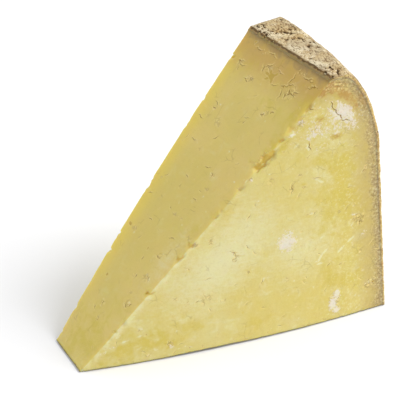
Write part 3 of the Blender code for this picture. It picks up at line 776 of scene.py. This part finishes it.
# Relief of the crust, in mm
crustFinish = {
    "grain": {"waves": (0.28, 11.0), "lumps": (0.22, 3.4), "grains": (0.15, 1.4), "grit": (0.09, 0.7)},
    "cracks": (0.14, 5.2, 0.040),      # depth, size of the net, share of it that is open
    "crackBend": (1.2, 2.6, 13.0),     # how far the net bends, over what size, size of the cracked places
    "crackPlaces": (-0.05, 0.25),      # cracked where the noise of the places is above this, fully at that
    "pits": (0.45, 1.1, 7.0),          # depth, size, size of the clusters they keep to
    "pitChance": (0.45, 0.35, 0.04, 0.16),     # from the clusters, a finer noise, the lip, less this
    "pitWall": (0.16, 0.30),           # a pit starts where noise and chance are over this, full at that
    "nearLip": (0.7, 0.9),             # pits get more frequent from here up the profile, fully from there
    "holeWall": (-0.1, 0.25),          # a larger hole is painted dark, as shade, from here outside its rim, fully this far in
    "stretch": 0.5,                    # pits and grains are longer along the drum's rim
    "sunk": 0.12,                      # how far the crust lies under the drum's profile
    "deepest": -0.68,                  # no hole reaches the paste, which begins 0.8 mm down
    "edgeWear": (0.25, 0.5),           # depth, reach
    "ragged": (0.50, 1.9, 0.22),       # how unevenly the lip broke, size of the pieces, overhang
    "raggedFine": (0.6, 2.4),          # strength of the lip's finer noise, and how much finer it is
    "lip": (0.985, 0.42),              # where the lip starts up the profile, and how far it leans over
    "footLift": (0.30, 0.25, 3.0, 1.6),    # least, more, size, reach
}
# Larger holes in the crust, in mm: along the drum's profile from the level cut, across from the front
# cut, length, width, depth, tilt in degrees
crustHoles = [
    (105.4, 38, 3.2, 1.6, 1.1, 70), (104, 36.4, 2.6, 1.1, 0.9, 40), (106.6, 39.6, 1.6, 0.9, 0.7, 90),
    (103.2, 39.4, 1.4, 0.8, 0.6, 20), (108.2, 48, 2.6, 1.1, 1, 80), (101.1, 47.6, 2, 1, 0.8, 90),
    (108.5, 41.6, 1.4, 0.8, 0.5, 90), (104.4, 24.8, 2.2, 0.7, 0.8, 80), (103, 22.2, 2, 0.7, 0.8, 70),
    (101.4, 20, 1.6, 0.8, 0.7, 60), (105.4, 19.4, 2.2, 0.7, 0.5, 70), (98, 12.4, 1.8, 0.8, 0.8, 60),
    (101.8, 7.8, 2.6, 1, 0.9, 50), (96.5, 6, 2.2, 0.9, 0.8, 30), (99, 30.4, 1.8, 0.8, 0.7, 80),
    (94.8, 29.4, 3, 1.3, 0.9, 80), (71.4, 17.6, 2.6, 1.4, 0.8, 0), (46.8, 33, 2.8, 1.5, 0.8, 40),
    (25.6, 13.8, 2.4, 1.5, 0.8, 0), (60, 40, 2, 1.2, 0.7, 60), (84, 8, 2.2, 1.1, 0.8, 20),
]


def crustRelief(points, up, across):
    # Noise of four sizes, less a net of cracks and the holes, in mm
    at = points / mm
    drawn = at * (1.0, crustFinish["stretch"], 1.0)
    relief = np.full(len(points), -crustFinish["sunk"])
    for number, (name, (depth, size)) in enumerate(crustFinish["grain"].items()):
        relief += depth * gradientNoise(drawn if name == "grains" else at, size, 80 + number)
    depth, size, share = crustFinish["cracks"]
    bend, bendSize, placeSize = crustFinish["crackBend"]
    net = np.abs(gradientNoise(at + bend * gradientNoise(at, bendSize, 85)[:, None], size, 86))
    where = ease(*crustFinish["crackPlaces"], gradientNoise(at, placeSize, 87))
    crack = where * (1 - ease(0, share, net))
    relief -= depth * crack
    depth, size, cluster = crustFinish["pits"]
    clustered, finer, lipShare, less = crustFinish["pitChance"]
    chance = clustered * gradientNoise(at, cluster, 88) + finer * gradientNoise(drawn, size / 2, 90)
    chance += lipShare * ease(*crustFinish["nearLip"], up) - less
    hole = ease(*crustFinish["pitWall"], gradientNoise(drawn, size, 89) + chance)
    relief -= depth * hole
    place = np.column_stack([up * skinLength / mm, across * skinWidth])
    inside, deep = pitField(place, crustHoles, 93)
    relief = np.maximum(relief - deep, crustFinish["deepest"])
    return relief, crack, np.maximum(hole, ease(*crustFinish["holeWall"], inside))


def crustShape():
    # Points and faces of the shell: a fine outer skin, a coarse inner one, and four walls at the cuts
    rows, columns, few = (crustGrid[k] for k in ("rows", "columns", "hiddenColumns"))
    thickness = crustGrid["thickness"] * mm
    up, across = np.meshgrid(np.arange(rows + 1) / rows, np.arange(columns + 1) / columns, indexing="ij")
    outer = np.arange(up.size).reshape(up.shape)
    ends = (0.0, 1.0)
    rim = [np.column_stack([np.arange(rows + 1) / rows, np.full(rows + 1, side)]) for side in ends]
    rim += [np.column_stack([np.full(columns - 1, end), np.arange(1, columns) / columns]) for end in ends]
    insideUp, insideAcross = gridShares(range(1, rows), rows, few)
    inner = np.concatenate(rim + [np.column_stack([insideUp.ravel(), insideAcross.ravel()])])
    start = outer.size
    left = start + np.arange(rows + 1)
    right = left + rows + 1
    low = np.concatenate([[left[0]], right[-1] + 1 + np.arange(columns - 1), [right[0]]])
    high = np.concatenate([[left[-1]], right[-1] + columns + np.arange(columns - 1), [right[-1]]])
    inside = right[-1] + 2 * (columns - 1) + 1 + np.arange(insideUp.size).reshape(insideUp.shape)
    back = np.empty((rows + 1, few + 1), dtype=int)
    back[:, 0], back[:, -1] = left, right
    back[0], back[-1] = low[::columns // few], high[::columns // few]
    back[1:-1, 1:-1] = inside
    skin = quadFaces(outer, True)
    walls = quadFaces(np.stack([left, outer[:, 0]], axis=1), True)
    walls += quadFaces(np.stack([outer[:, -1], right], axis=1), True)
    walls += quadFaces(np.stack([low, outer[0]]), True)
    walls += quadFaces(np.stack([outer[-1], high]), True)
    walls += quadFaces(back[1:-1], False) + joinFaces(low, back[1], True) + joinFaces(high, back[-2], False)
    points = np.concatenate([
        wedgePoint(1.0, up.ravel(), across.ravel()),
        wedgePoint(1.0, inner[:, 0], inner[:, 1], thickness),
    ])
    params = np.concatenate([np.column_stack([up.ravel(), across.ravel()]), inner])
    return points, skin, walls, params, outer


def makeCrust():
    # The plain shell, each point of its skin moved along the skin's normal by the relief: P + n * relief
    points, skin, walls, params, outer = crustShape()
    crust = makeMesh("cheeseRind", points, skin + walls)
    isSkin = np.arange(len(points)) < outer.size
    up, across = params[:, 0], params[:, 1]
    relief, crack, hole = crustRelief(wedgePoint(1.0, up, across), up, across)
    toLip, toFoot = (1 - up) * skinLength / mm, up * skinLength / mm
    worn = np.minimum(np.minimum(np.minimum(across, 1 - across) * skinWidth, toLip), toFoot)
    depth, reach = crustFinish["edgeWear"]
    relief = np.where(isSkin, relief - depth * np.exp(-worn / reach), 0)
    moved = points.copy()
    moved[:outer.size] += skinNormals(outer, points) * relief[:outer.size, None] * mm
    # the lip over the slanted cut broke unevenly, mostly a little proud of the paste
    depth, size, proud = crustFinish["ragged"]
    start, lean = crustFinish["lip"]
    at = points / mm
    strength, ratio = crustFinish["raggedFine"]
    broken = depth * (gradientNoise(at, size, 95) + strength * gradientNoise(at, size / ratio, 96)) + proud
    atSlant = ease(start, 1.0, up)
    moved[:, :2] -= (moved[:, :2] + (axisOffset, 0)) / axisOffset * lean * (broken * atSlant)[:, None] * mm
    least, more, size, reach = crustFinish["footLift"]
    lift = (least + more * gradientNoise(at, size, 97)) * np.exp(-toFoot / reach)
    moved[:, 2] = np.maximum(moved[:, 2], 0.0) + np.where(isSkin, lift, 0) * mm
    moved[(points[:, 2] < 1e-6) & ~isSkin, 2] = 0.0
    setPoints(crust, moved)
    marks = {
        "skinDepth": np.where(isSkin, 0.0, crustGrid["thickness"]), "crack": np.where(isSkin, crack, 0),
        "hole": np.where(isSkin, hole, 0), "height": relief, "lipGap": toLip, "onSlant": atSlant,
        # foot: where the crust's painted contact shadow falls, its lowest half millimetre or so
        "foot": np.exp(-(points[:, 2] / mm / footShadowReach) ** 2),
    }
    marks.update((name, np.full(len(points), value)) for name, value in noMarks.items())
    for name, values in marks.items():
        setAttribute(crust, name, values)
    wall = np.zeros(len(crust.data.polygons), dtype=np.int32)
    wall[len(skin):] = 1               # the walls show paste
    crust.data.polygons.foreach_set("material_index", wall)
    crust.data.shade_smooth()
    return crust


def skinNormals(outer, points):
    # Normals of the plain skin: the cross product of its two grid directions
    grid = points[:outer.size].reshape(outer.shape + (3,))
    normal = np.cross(np.gradient(grid, axis=1), np.gradient(grid, axis=0))
    normal /= np.linalg.norm(normal, axis=2, keepdims=True)
    return normal.reshape(-1, 3)


paste = makePaste()
print("paste", len(paste.data.vertices), "points")
crust = makeCrust()
print("crust", len(crust.data.vertices), "points")


def linearColour(text):
    # sRGB hex to linear, ((c + 0.055) / 1.055)^2.4 or c / 12.92 where dark, with alpha 1
    parts = [int(text[k:k + 2], 16) / 255 for k in (1, 3, 5)]
    return tuple(p / 12.92 if p <= 0.04045 else ((p + 0.055) / 1.055) ** 2.4 for p in parts) + (1.0,)


def addNode(tree, kind, inputs=None, output=0, **settings):
    # One node: its own settings, then its inputs, each a value or another node's output
    made = tree.nodes.new("ShaderNode" + kind)
    for name, value in settings.items():
        setattr(made, name, value)
    for name, value in (inputs or {}).items():
        if isinstance(value, bpy.types.NodeSocket):
            tree.links.new(value, made.inputs[name])
        else:
            made.inputs[name].default_value = value
    return made.outputs[output]


def startMaterial(look):
    # The look's patterns, each a number over the surface: its noises and the mesh attributes it names
    material = bpy.data.materials.new(look["name"])
    material.use_nodes = True
    tree = material.node_tree
    place = addNode(tree, "TexCoord", output="Object")
    drawn = addNode(tree, "VectorMath", {0: place, 1: look["drawn"]}, operation="MULTIPLY")
    patterns = {}
    for name, (size, detail, rough, warp) in look["noises"].items():
        patterns[name] = addNode(tree, "TexNoise", {
            "Vector": drawn if name in look["drawnOut"] else place, "Scale": 1 / (size * mm),
            "Detail": detail, "Roughness": rough, "Distortion": warp,
        }, "Fac")
    for name in look["attributes"]:
        patterns[name] = addNode(tree, "Attribute", output="Fac", attribute_name=name)
    return material, tree, place, patterns


def mixPatterns(tree, patterns, mixes):
    # New patterns from older ones, added or multiplied. A term is a pattern's name, or a pattern with the
    # range that it is eased over, by 3t^2 - 2t^3, and the range that it is taken to
    for name, operation, *terms in mixes:
        values = []
        for term in terms:
            if isinstance(term, str):
                values.append(patterns[term])
                continue
            source, low, high, start, end = term
            values.append(addNode(tree, "MapRange", {
                "Value": patterns[source], "From Min": low, "From Max": high, "To Min": start, "To Max": end,
            }, interpolation_type="SMOOTHSTEP"))
        total = values[0]
        for value in values[1:]:
            total = addNode(tree, "Math", {0: total, 1: value}, operation=operation)
        patterns[name] = total


def layColours(tree, patterns, look):
    # The body colour with every layer over it, each where its pattern is high, and some within another
    hues = {name: linearColour(text) for name, text in look["hues"].items()}
    colour = hues[look["body"]]
    for hue, pattern, low, high, most, *within in look["layers"]:
        mixPatterns(tree, patterns, [("share", "MULTIPLY", (pattern, low, high, 0.0, most), *within)])
        colour = addNode(tree, "Mix", {0: patterns["share"], 6: colour, 7: hues[hue]}, 2, data_type="RGBA")
    return colour


def dressShader(tree, patterns, look):
    # Mixes the patterns, links colour, roughness and bump, and sets what is the same everywhere
    mixPatterns(tree, patterns, look["mixes"])
    strength, depth = look["bump"]
    bump = addNode(tree, "Bump", {"Height": patterns["bumps"], "Strength": strength, "Distance": depth * mm})
    shader = tree.nodes["Principled BSDF"]
    tree.links.new(layColours(tree, patterns, look), shader.inputs["Base Color"])
    tree.links.new(patterns["roughness"], shader.inputs["Roughness"])
    tree.links.new(bump, shader.inputs["Normal"])
    for name, value in look["fixed"].items():
        shader.inputs[name].default_value = value


# Pressed cow's-milk paste. Colours in white light; sizes in mm
pasteLook = {
    "name": "pressedCheesePaste",
    "body": "frontStraw",
    "hues": {
        "straw": "#DFCA7C", "frontStraw": "#DACD88", "deepStraw": "#D8C671", "creamy": "#E3DEAF",
        # pit and slantPit here, and gap and slantGap on the next line, are painted shade in pits, cracks,
        # fissures and the gaps between crumbs; the pale crumb colour is a painted highlight on crumb tops and
        # the rims of pits and cracks
        "oily": "#D3C05B", "glow": "#E3CF68", "broken": "#DBBC55", "pit": "#B8953C", "slantPit": "#C0A040",
        "gap": "#86611F", "slantGap": "#94702C", "paleHighlight": "#E6D38E", "mould": "#E6DECD",
        "dried": "#C6AF69", "dryBrown": "#BC9049", "crustEdge": "#B59D6B", "speck": "#8A7446",
        # the first three colours on the next line darken the slanted cut under the crust's lip: the darker
        # paste under the rind, with painted shade from the lip
        # the last colour on the next line is a painted contact shadow along the foot
        "underLip": "#C5A157", "lipShade": "#A0865A", "lipShadeLine": "#614925", "footShadow": "#54462B",
    },
    "drawn": (0.45, 0.45, 1.6),      # the wire dragged the curd along the front cut
    "drawnOut": ("streaks",),
    "noises": {                      # size, detail, roughness, distortion
        "patches": (26, 3, 0.5, 0),
        "curd": (4.6, 3, 0.6, 0.6),
        "crumb": (0.75, 2, 0.7, 0),
        "streaks": (3.2, 3, 0.65, 1.2),
        "grit": (0.8, 3, 0.75, 0),
        "fleck": (1, 3, 0.75, 0),
        "lipGrain": (1.3, 3, 0.7, 0),
        "openings": (7, 2, 0.5, 0),
        "powder": (0.8, 4, 0.8, 0),
        "tufts": (2.6, 2, 0.5, 0),
        "pores": (0.36, 2, 0.7, 0),
    },
    "attributes": ("onSlant", "skinDepth", "glow", "pale", "amber", "brown", "crumble", "pit",
                   "crackSide", "crackHalf", "chip", "mould", "foot"),
    "cells": (1.5, 5.2),             # size of the loose crumbs, and of the curds between fissures
    "bend": (2.4, 1.5),              # size and depth of the bends in both nets
    "lipShift": 0.32,                # how far a crack's pale lip, a painted highlight, lies to one side
    "bump": (0.5, 0.35),             # strength, depth
    "fixed": {
        "IOR": 1.45, "Specular IOR Level": 0.35, "Subsurface Weight": 0.75,
        "Subsurface Radius": (0.95, 0.7, 0.21), "Subsurface Scale": 3.6 * mm,
    },
    "mixes": [
        ("offSlant", "ADD", ("onSlant", 0, 1, 1, 0)),
        ("calm", "ADD", ("onSlant", 0, 1, 1, 0.4)),
        ("driedDepth", "ADD", "skinDepth", ("curd", 0.2, 0.8, -1.5, 1.5)),
        ("paleness", "ADD", "pale", ("crumb", 0.3, 0.7, -0.05, 0.05), ("streaks", 0.3, 0.7, -0.06, 0.06)),
        ("oiliness", "ADD", "amber", ("curd", 0.3, 0.7, -0.42, 0.42)),
        ("brownness", "ADD", "brown", ("fleck", 0.3, 0.7, -0.5, 0.5)),
        ("lipDepth", "ADD", "skinDepth", ("lipGrain", 0.25, 0.75, -0.3, 0.3)),
        ("nearSkin", "MULTIPLY", "offSlant", ("driedDepth", 36, 6, 0.2, 1)),
        ("dry", "MULTIPLY", "offSlant", ("driedDepth", 6.5, 2.5, 0, 1)),
        ("crumbling", "ADD", "crumble", ("crumb", 0.3, 0.7, -0.18, 0.18)),
        ("loose", "ADD", ("crumbling", 0, 0.65, 0, 1)),
        ("crumbGap", "MULTIPLY", "loose", ("crumbCells", 0.16, 0.02, 0, 1)),
        ("fissure", "MULTIPLY", ("openings", 0.55, 0.68, 0, 1), ("curdCells", 0.04, 0, 0, 1)),
        ("pitEdge", "ADD", "pit", ("crumb", 0.3, 0.7, -0.11, 0.11)),
        ("inPit", "ADD", ("pitEdge", -0.05, 0.28, 0, 1)),
        ("crackEdge", "ADD", "crackGap", ("crumb", 0.3, 0.7, -0.03, 0.03)),
        ("inCrack", "ADD", ("crackEdge", -0.07, 0.07, 0, 1)),
        ("chipEdge", "ADD", "chip", ("crumb", 0.3, 0.7, -0.15, 0.15)),
        ("mouldEdge", "ADD", "mould", ("powder", 0.25, 0.75, -0.95, 0.95), ("tufts", 0.3, 0.7, -0.25, 0.25),
         ("brown", 0, 1, 0, -1.2)),
        ("bloom", "MULTIPLY", ("mouldEdge", 0, 1.25, 0, 0.92), ("inCrack", 0, 1, 1, 0)),
        ("dryGrit", "MULTIPLY", "dry", "grit"),
        ("bumps", "ADD", ("crumb", 0.2, 0.8, 0, 0.15), ("pores", 0.2, 0.8, 0, 0.08),
         ("dryGrit", 0, 1, 0, -0.5), ("fissure", 0, 1, 0, -0.2),
         ("crumbGap", 0, 1, 0, -0.18), ("inCrack", 0, 1, 0, -0.25),
         ("inPit", 0, 1, 0, -0.15), ("bloom", 0, 1, 0, 0.3)),
        ("roughness", "ADD", ("curd", 0.3, 0.7, 0.5, 0.62), ("bloom", 0, 1, 0, 0.3)),
    ],
    # colour, pattern, where it starts, where it is full, how much, and a pattern that it may keep within
    "layers": [
        ("straw", "onSlant", 0, 1, 1),
        ("deepStraw", "patches", 0.35, 0.65, 0.8),
        ("deepStraw", "curd", 0.52, 0.75, 0.6, "calm"),
        ("creamy", "curd", 0.45, 0.25, 0.4, "calm"),
        ("creamy", "streaks", 0.54, 0.72, 0.14, "offSlant"),
        ("oily", "streaks", 0.42, 0.28, 0.12, "offSlant"),
        # a painted glow along the thin back edge, as of light through it
        ("glow", "glow", 0, 0.9, 0.9),
        ("creamy", "paleness", 0, 0.8, 0.9),
        ("oily", "oiliness", 0, 1, 0.85),
        ("creamy", "fleck", 0.54, 0.64, 0.55, "nearSkin"),
        ("dried", "fleck", 0.44, 0.34, 0.5, "nearSkin"),
        # towards the skin the paste dries and darkens; under the lip of the crust it is greyer still, and
        # darkest in a thin line right under the lip: the darker paste under the rind, with painted shade from
        # the overhanging lip
        ("dried", "driedDepth", 14, 3.5, 0.85, "offSlant"),
        ("crustEdge", "driedDepth", 5.6, 1.3, 0.9, "offSlant"),
        ("speck", "grit", 0.52, 0.6, 0.6, "dry"),
        ("creamy", "grit", 0.46, 0.38, 0.55, "dry"),
        ("dryBrown", "brownness", 0, 1.1, 0.75),
        ("underLip", "driedDepth", 15, 4, 0.75, "onSlant"),
        ("lipShade", "driedDepth", 4.5, 1.2, 0.75, "onSlant"),
        ("lipShadeLine", "lipDepth", 0.78, 0.42, 0.9, "onSlant"),
        # loose crumbs have pale tops, a painted highlight, and gaps painted dark as shade; fissures, pits and
        # cracks are painted darker inside, painted shade over the deeper yellow of the pits, and have pale
        # rims, a painted highlight
        ("paleHighlight", "crumb", 0.44, 0.58, 0.85, "loose"),
        ("gap", "crumbGap", 0, 1, 0.42, "offSlant"),
        ("slantGap", "crumbGap", 0, 1, 0.34, "onSlant"),
        ("gap", "fissure", 0, 1, 0.2),
        ("paleHighlight", "pitEdge", -0.4, -0.08, 0.25),
        ("pit", "inPit", 0, 1, 0.85, "offSlant"),
        ("slantPit", "inPit", 0, 1, 0.7, "onSlant"),
        ("paleHighlight", "crackLipHighlight", -0.28, 0.05, 0.6),
        ("gap", "inCrack", 0, 1, 0.8, "offSlant"),
        ("slantGap", "inCrack", 0, 1, 0.8, "onSlant"),
        ("broken", "chipEdge", 0.15, 0.8, 0.9),
        ("mould", "bloom", 0, 0.92, 0.92),
        ("speck", "crumb", 0.45, 0.2, 0.1),
        # the underside and its lower edge are painted dark: a painted contact shadow along the foot
        ("footShadow", "foot", 0, 1, 0.85),
    ],
}


def pressedPaste():
    # Waxy, slightly translucent paste, cut by wire and broken by hand: light sinks a few mm into it,
    # so edges glow, while mould and tears are dry and matte
    material, tree, place, patterns = startMaterial(pasteLook)
    size, depth = pasteLook["bend"]
    bend = addNode(tree, "TexNoise", {"Vector": place, "Scale": 1 / (size * mm)}, "Color")
    bent = addNode(tree, "VectorMath", {0: bend, 1: (depth * mm,) * 3, 2: place}, operation="MULTIPLY_ADD")
    for name, cell in zip(("crumbCells", "curdCells"), pasteLook["cells"]):
        patterns[name] = addNode(tree, "TexVoronoi", {"Vector": bent, "Scale": 1 / (cell * mm)}, "Distance",
                                 feature="DISTANCE_TO_EDGE")
    # a crack is open where the distance to its middle line is under its half width there
    for name, shift in (("crackGap", 0.0), ("crackLipHighlight", pasteLook["lipShift"])):
        aside = addNode(tree, "Math", {0: patterns["crackSide"], 1: shift}, operation="SUBTRACT")
        away = addNode(tree, "Math", {0: aside}, operation="ABSOLUTE")
        patterns[name] = addNode(tree, "Math", {0: patterns["crackHalf"], 1: away}, operation="SUBTRACT")
    dressShader(tree, patterns, pasteLook)
    return material


# Dry natural crust, brushed while the drum matured. Colours in white light; sizes in mm
crustLook = {
    "name": "naturalCheeseCrust",
    "body": "tan",
    "hues": {
        # the darkest colour here is painted shade: inside the holes, and along the foot as a contact shadow
        "tan": "#C0AB80", "ochre": "#B5925C", "brown": "#8A6D44", "dust": "#DCCFAE", "ash": "#B3A993",
        "umber": "#644825", "crackShade": "#6B532F", "hole": "#382614",
    },
    "drawn": (1, 0.5, 1),        # brushing ran round the drum
    "drawnOut": ("grain", "fleck"),
    "noises": {                      # size, detail, roughness, distortion
        "patches": (9, 4, 0.6, 0),
        "grain": (1, 3, 0.7, 0),
        "grit": (0.5, 2, 0.7, 0),
        "clouds": (5, 3, 0.5, 0),
        "bloom": (15, 3, 0.6, 0),
        "fleck": (0.62, 3, 0.75, 0),
        "wear": (6, 2, 0.5, 0),
    },
    "attributes": ("lipGap", "height", "crack", "hole", "foot"),
    "bump": (0.7, 0.35),             # strength, depth
    "fixed": {"IOR": 1.45, "Specular IOR Level": 0.2},
    "mixes": [
        ("dusting", "ADD", "clouds", ("lipGap", 4.5, 0.5, -0.07, 0.11), ("grit", 0.3, 0.7, -0.12, 0.12)),
        ("flecks", "ADD", "fleck", ("wear", 0.3, 0.7, -0.05, 0.05)),
        ("bumps", "ADD", ("grain", 0.25, 0.75, 0.6, 0), ("grit", 0.2, 0.8, 0, 0.4)),
        ("roughness", "ADD", ("grit", 0.3, 0.7, 0.82, 0.95)),
    ],
    "layers": [
        ("ochre", "patches", 0.48, 0.66, 0.7),
        ("brown", "grain", 0.5, 0.6, 0.85),
        ("dust", "dusting", 0.47, 0.6, 0.85),
        ("ash", "bloom", 0.48, 0.62, 0.4),
        ("umber", "flecks", 0.55, 0.6, 0.92),
        ("brown", "lipGap", 14, 34, 0.55),
        # browner where the relief lies low: painted shade in the hollows, pits and worn edges
        ("brown", "height", -0.15, -0.5, 0.75),
        ("crackShade", "crack", 0.3, 0.9, 0.4),
        # the holes painted near black: painted shade inside them
        ("hole", "hole", 0.35, 0.85, 0.92),
        # the crust's foot painted in the holes' dark colour: a painted contact shadow
        ("hole", "foot", 0, 1, 0.8),
    ],
}


def naturalCrust():
    # Dusty and dead matt: dried paste with brushed-in mould, browner where its relief lies low, in pits and
    # along worn edges, as painted shade, and painted near black in its holes
    material, tree, _, patterns = startMaterial(crustLook)
    dressShader(tree, patterns, crustLook)
    return material


cutPaste = pressedPaste()
paste.data.materials.append(cutPaste)
crust.data.materials.append(naturalCrust())
crust.data.materials.append(cutPaste)
print("materials done")

for piece, slotName in ((paste, "paste"), (crust, "rind")):
    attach(piece, "root")
    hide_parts("cheese_wedge")

# The camera, fitted to the photo: place in metres from the thin edge's front foot, angles in degrees
camera = {"place": (-0.0911, -0.4187, 0.3469), "pitch": 33.0, "yaw": 18.0, "roll": -1.14,
          "lens": 142.9, "sensor": 36.0}


def makeCamera():
    # The view's axes from yaw, then pitch, then roll about the line of sight
    pitch, yaw, roll = (math.radians(camera[k]) for k in ("pitch", "yaw", "roll"))
    forward = Vector((math.sin(yaw) * math.cos(pitch), math.cos(yaw) * math.cos(pitch), -math.sin(pitch)))
    side = Vector((math.cos(yaw), -math.sin(yaw), 0.0))
    upward = side.cross(forward)
    right = side * math.cos(roll) + upward * math.sin(roll)
    top = upward * math.cos(roll) - side * math.sin(roll)
    data = bpy.data.cameras.new("camera")
    data.lens = camera["lens"]
    data.sensor_width = camera["sensor"]
    made = bpy.data.objects.new("camera", data)
    turned = Matrix((right, top, -forward)).transposed().to_4x4()
    made.matrix_world = Matrix.Translation(Vector(camera["place"]) - Vector(centre)) @ turned
    bpy.context.scene.collection.objects.link(made)
    bpy.context.scene.camera = made


# The lights as (direction it comes from, distance, size, watts), in metres, the height that they are aimed
# at, the strength of the white sky, and the floor's linear colour and half width
studio = {
    "lights": {"key": ((0.88, -0.26, 1.00), 0.9, 0.40, 6.2), "back": ((-0.10, 0.95, 0.30), 1.0, 0.6, 1.0)},
    "aim": 0.04,
    "sky": 0.77,
    "floorColour": (0.866, 0.870, 0.885, 1.0),
    "floorHalf": 3.0,
    "floorLook": {"Roughness": 0.9, "Specular IOR Level": 0.1},      # a plain matt sweep with no sheen
}


def makeStudio():
    # Two area lights, an even white sky and a plain matt floor at z = 0
    for name, (direction, distance, size, watts) in studio["lights"].items():
        data = bpy.data.lights.new(name, "AREA")
        data.energy = watts
        data.size = size
        made = bpy.data.objects.new(name, data)
        away = Vector(direction).normalized()
        made.location = away * distance + Vector((0, 0, studio["aim"]))
        made.rotation_mode = "QUATERNION"
        made.rotation_quaternion = (-away).to_track_quat("-Z", "Y")
        bpy.context.scene.collection.objects.link(made)
    world = bpy.data.worlds.new("studio")
    bpy.context.scene.world = world
    world.use_nodes = True
    sky = world.node_tree.nodes["Background"]
    sky.inputs["Color"].default_value = (1.0, 1.0, 1.0, 1.0)
    sky.inputs["Strength"].default_value = studio["sky"]
    half = studio["floorHalf"]
    corners = np.array([(-half, -half, 0), (half, -half, 0), (half, half, 0), (-half, half, 0)])
    floor = makeMesh("floor", corners, [[0, 1, 2, 3]])
    paper = bpy.data.materials.new("mattWhitePaper")
    paper.use_nodes = True
    shader = paper.node_tree.nodes["Principled BSDF"]
    shader.inputs["Base Color"].default_value = studio["floorColour"]
    for name, value in studio["floorLook"].items():
        shader.inputs[name].default_value = value
    floor.data.materials.append(paper)
    bpy.context.scene.view_settings.view_transform = "Standard"


makeCamera()
makeStudio()
print("camera and studio done")
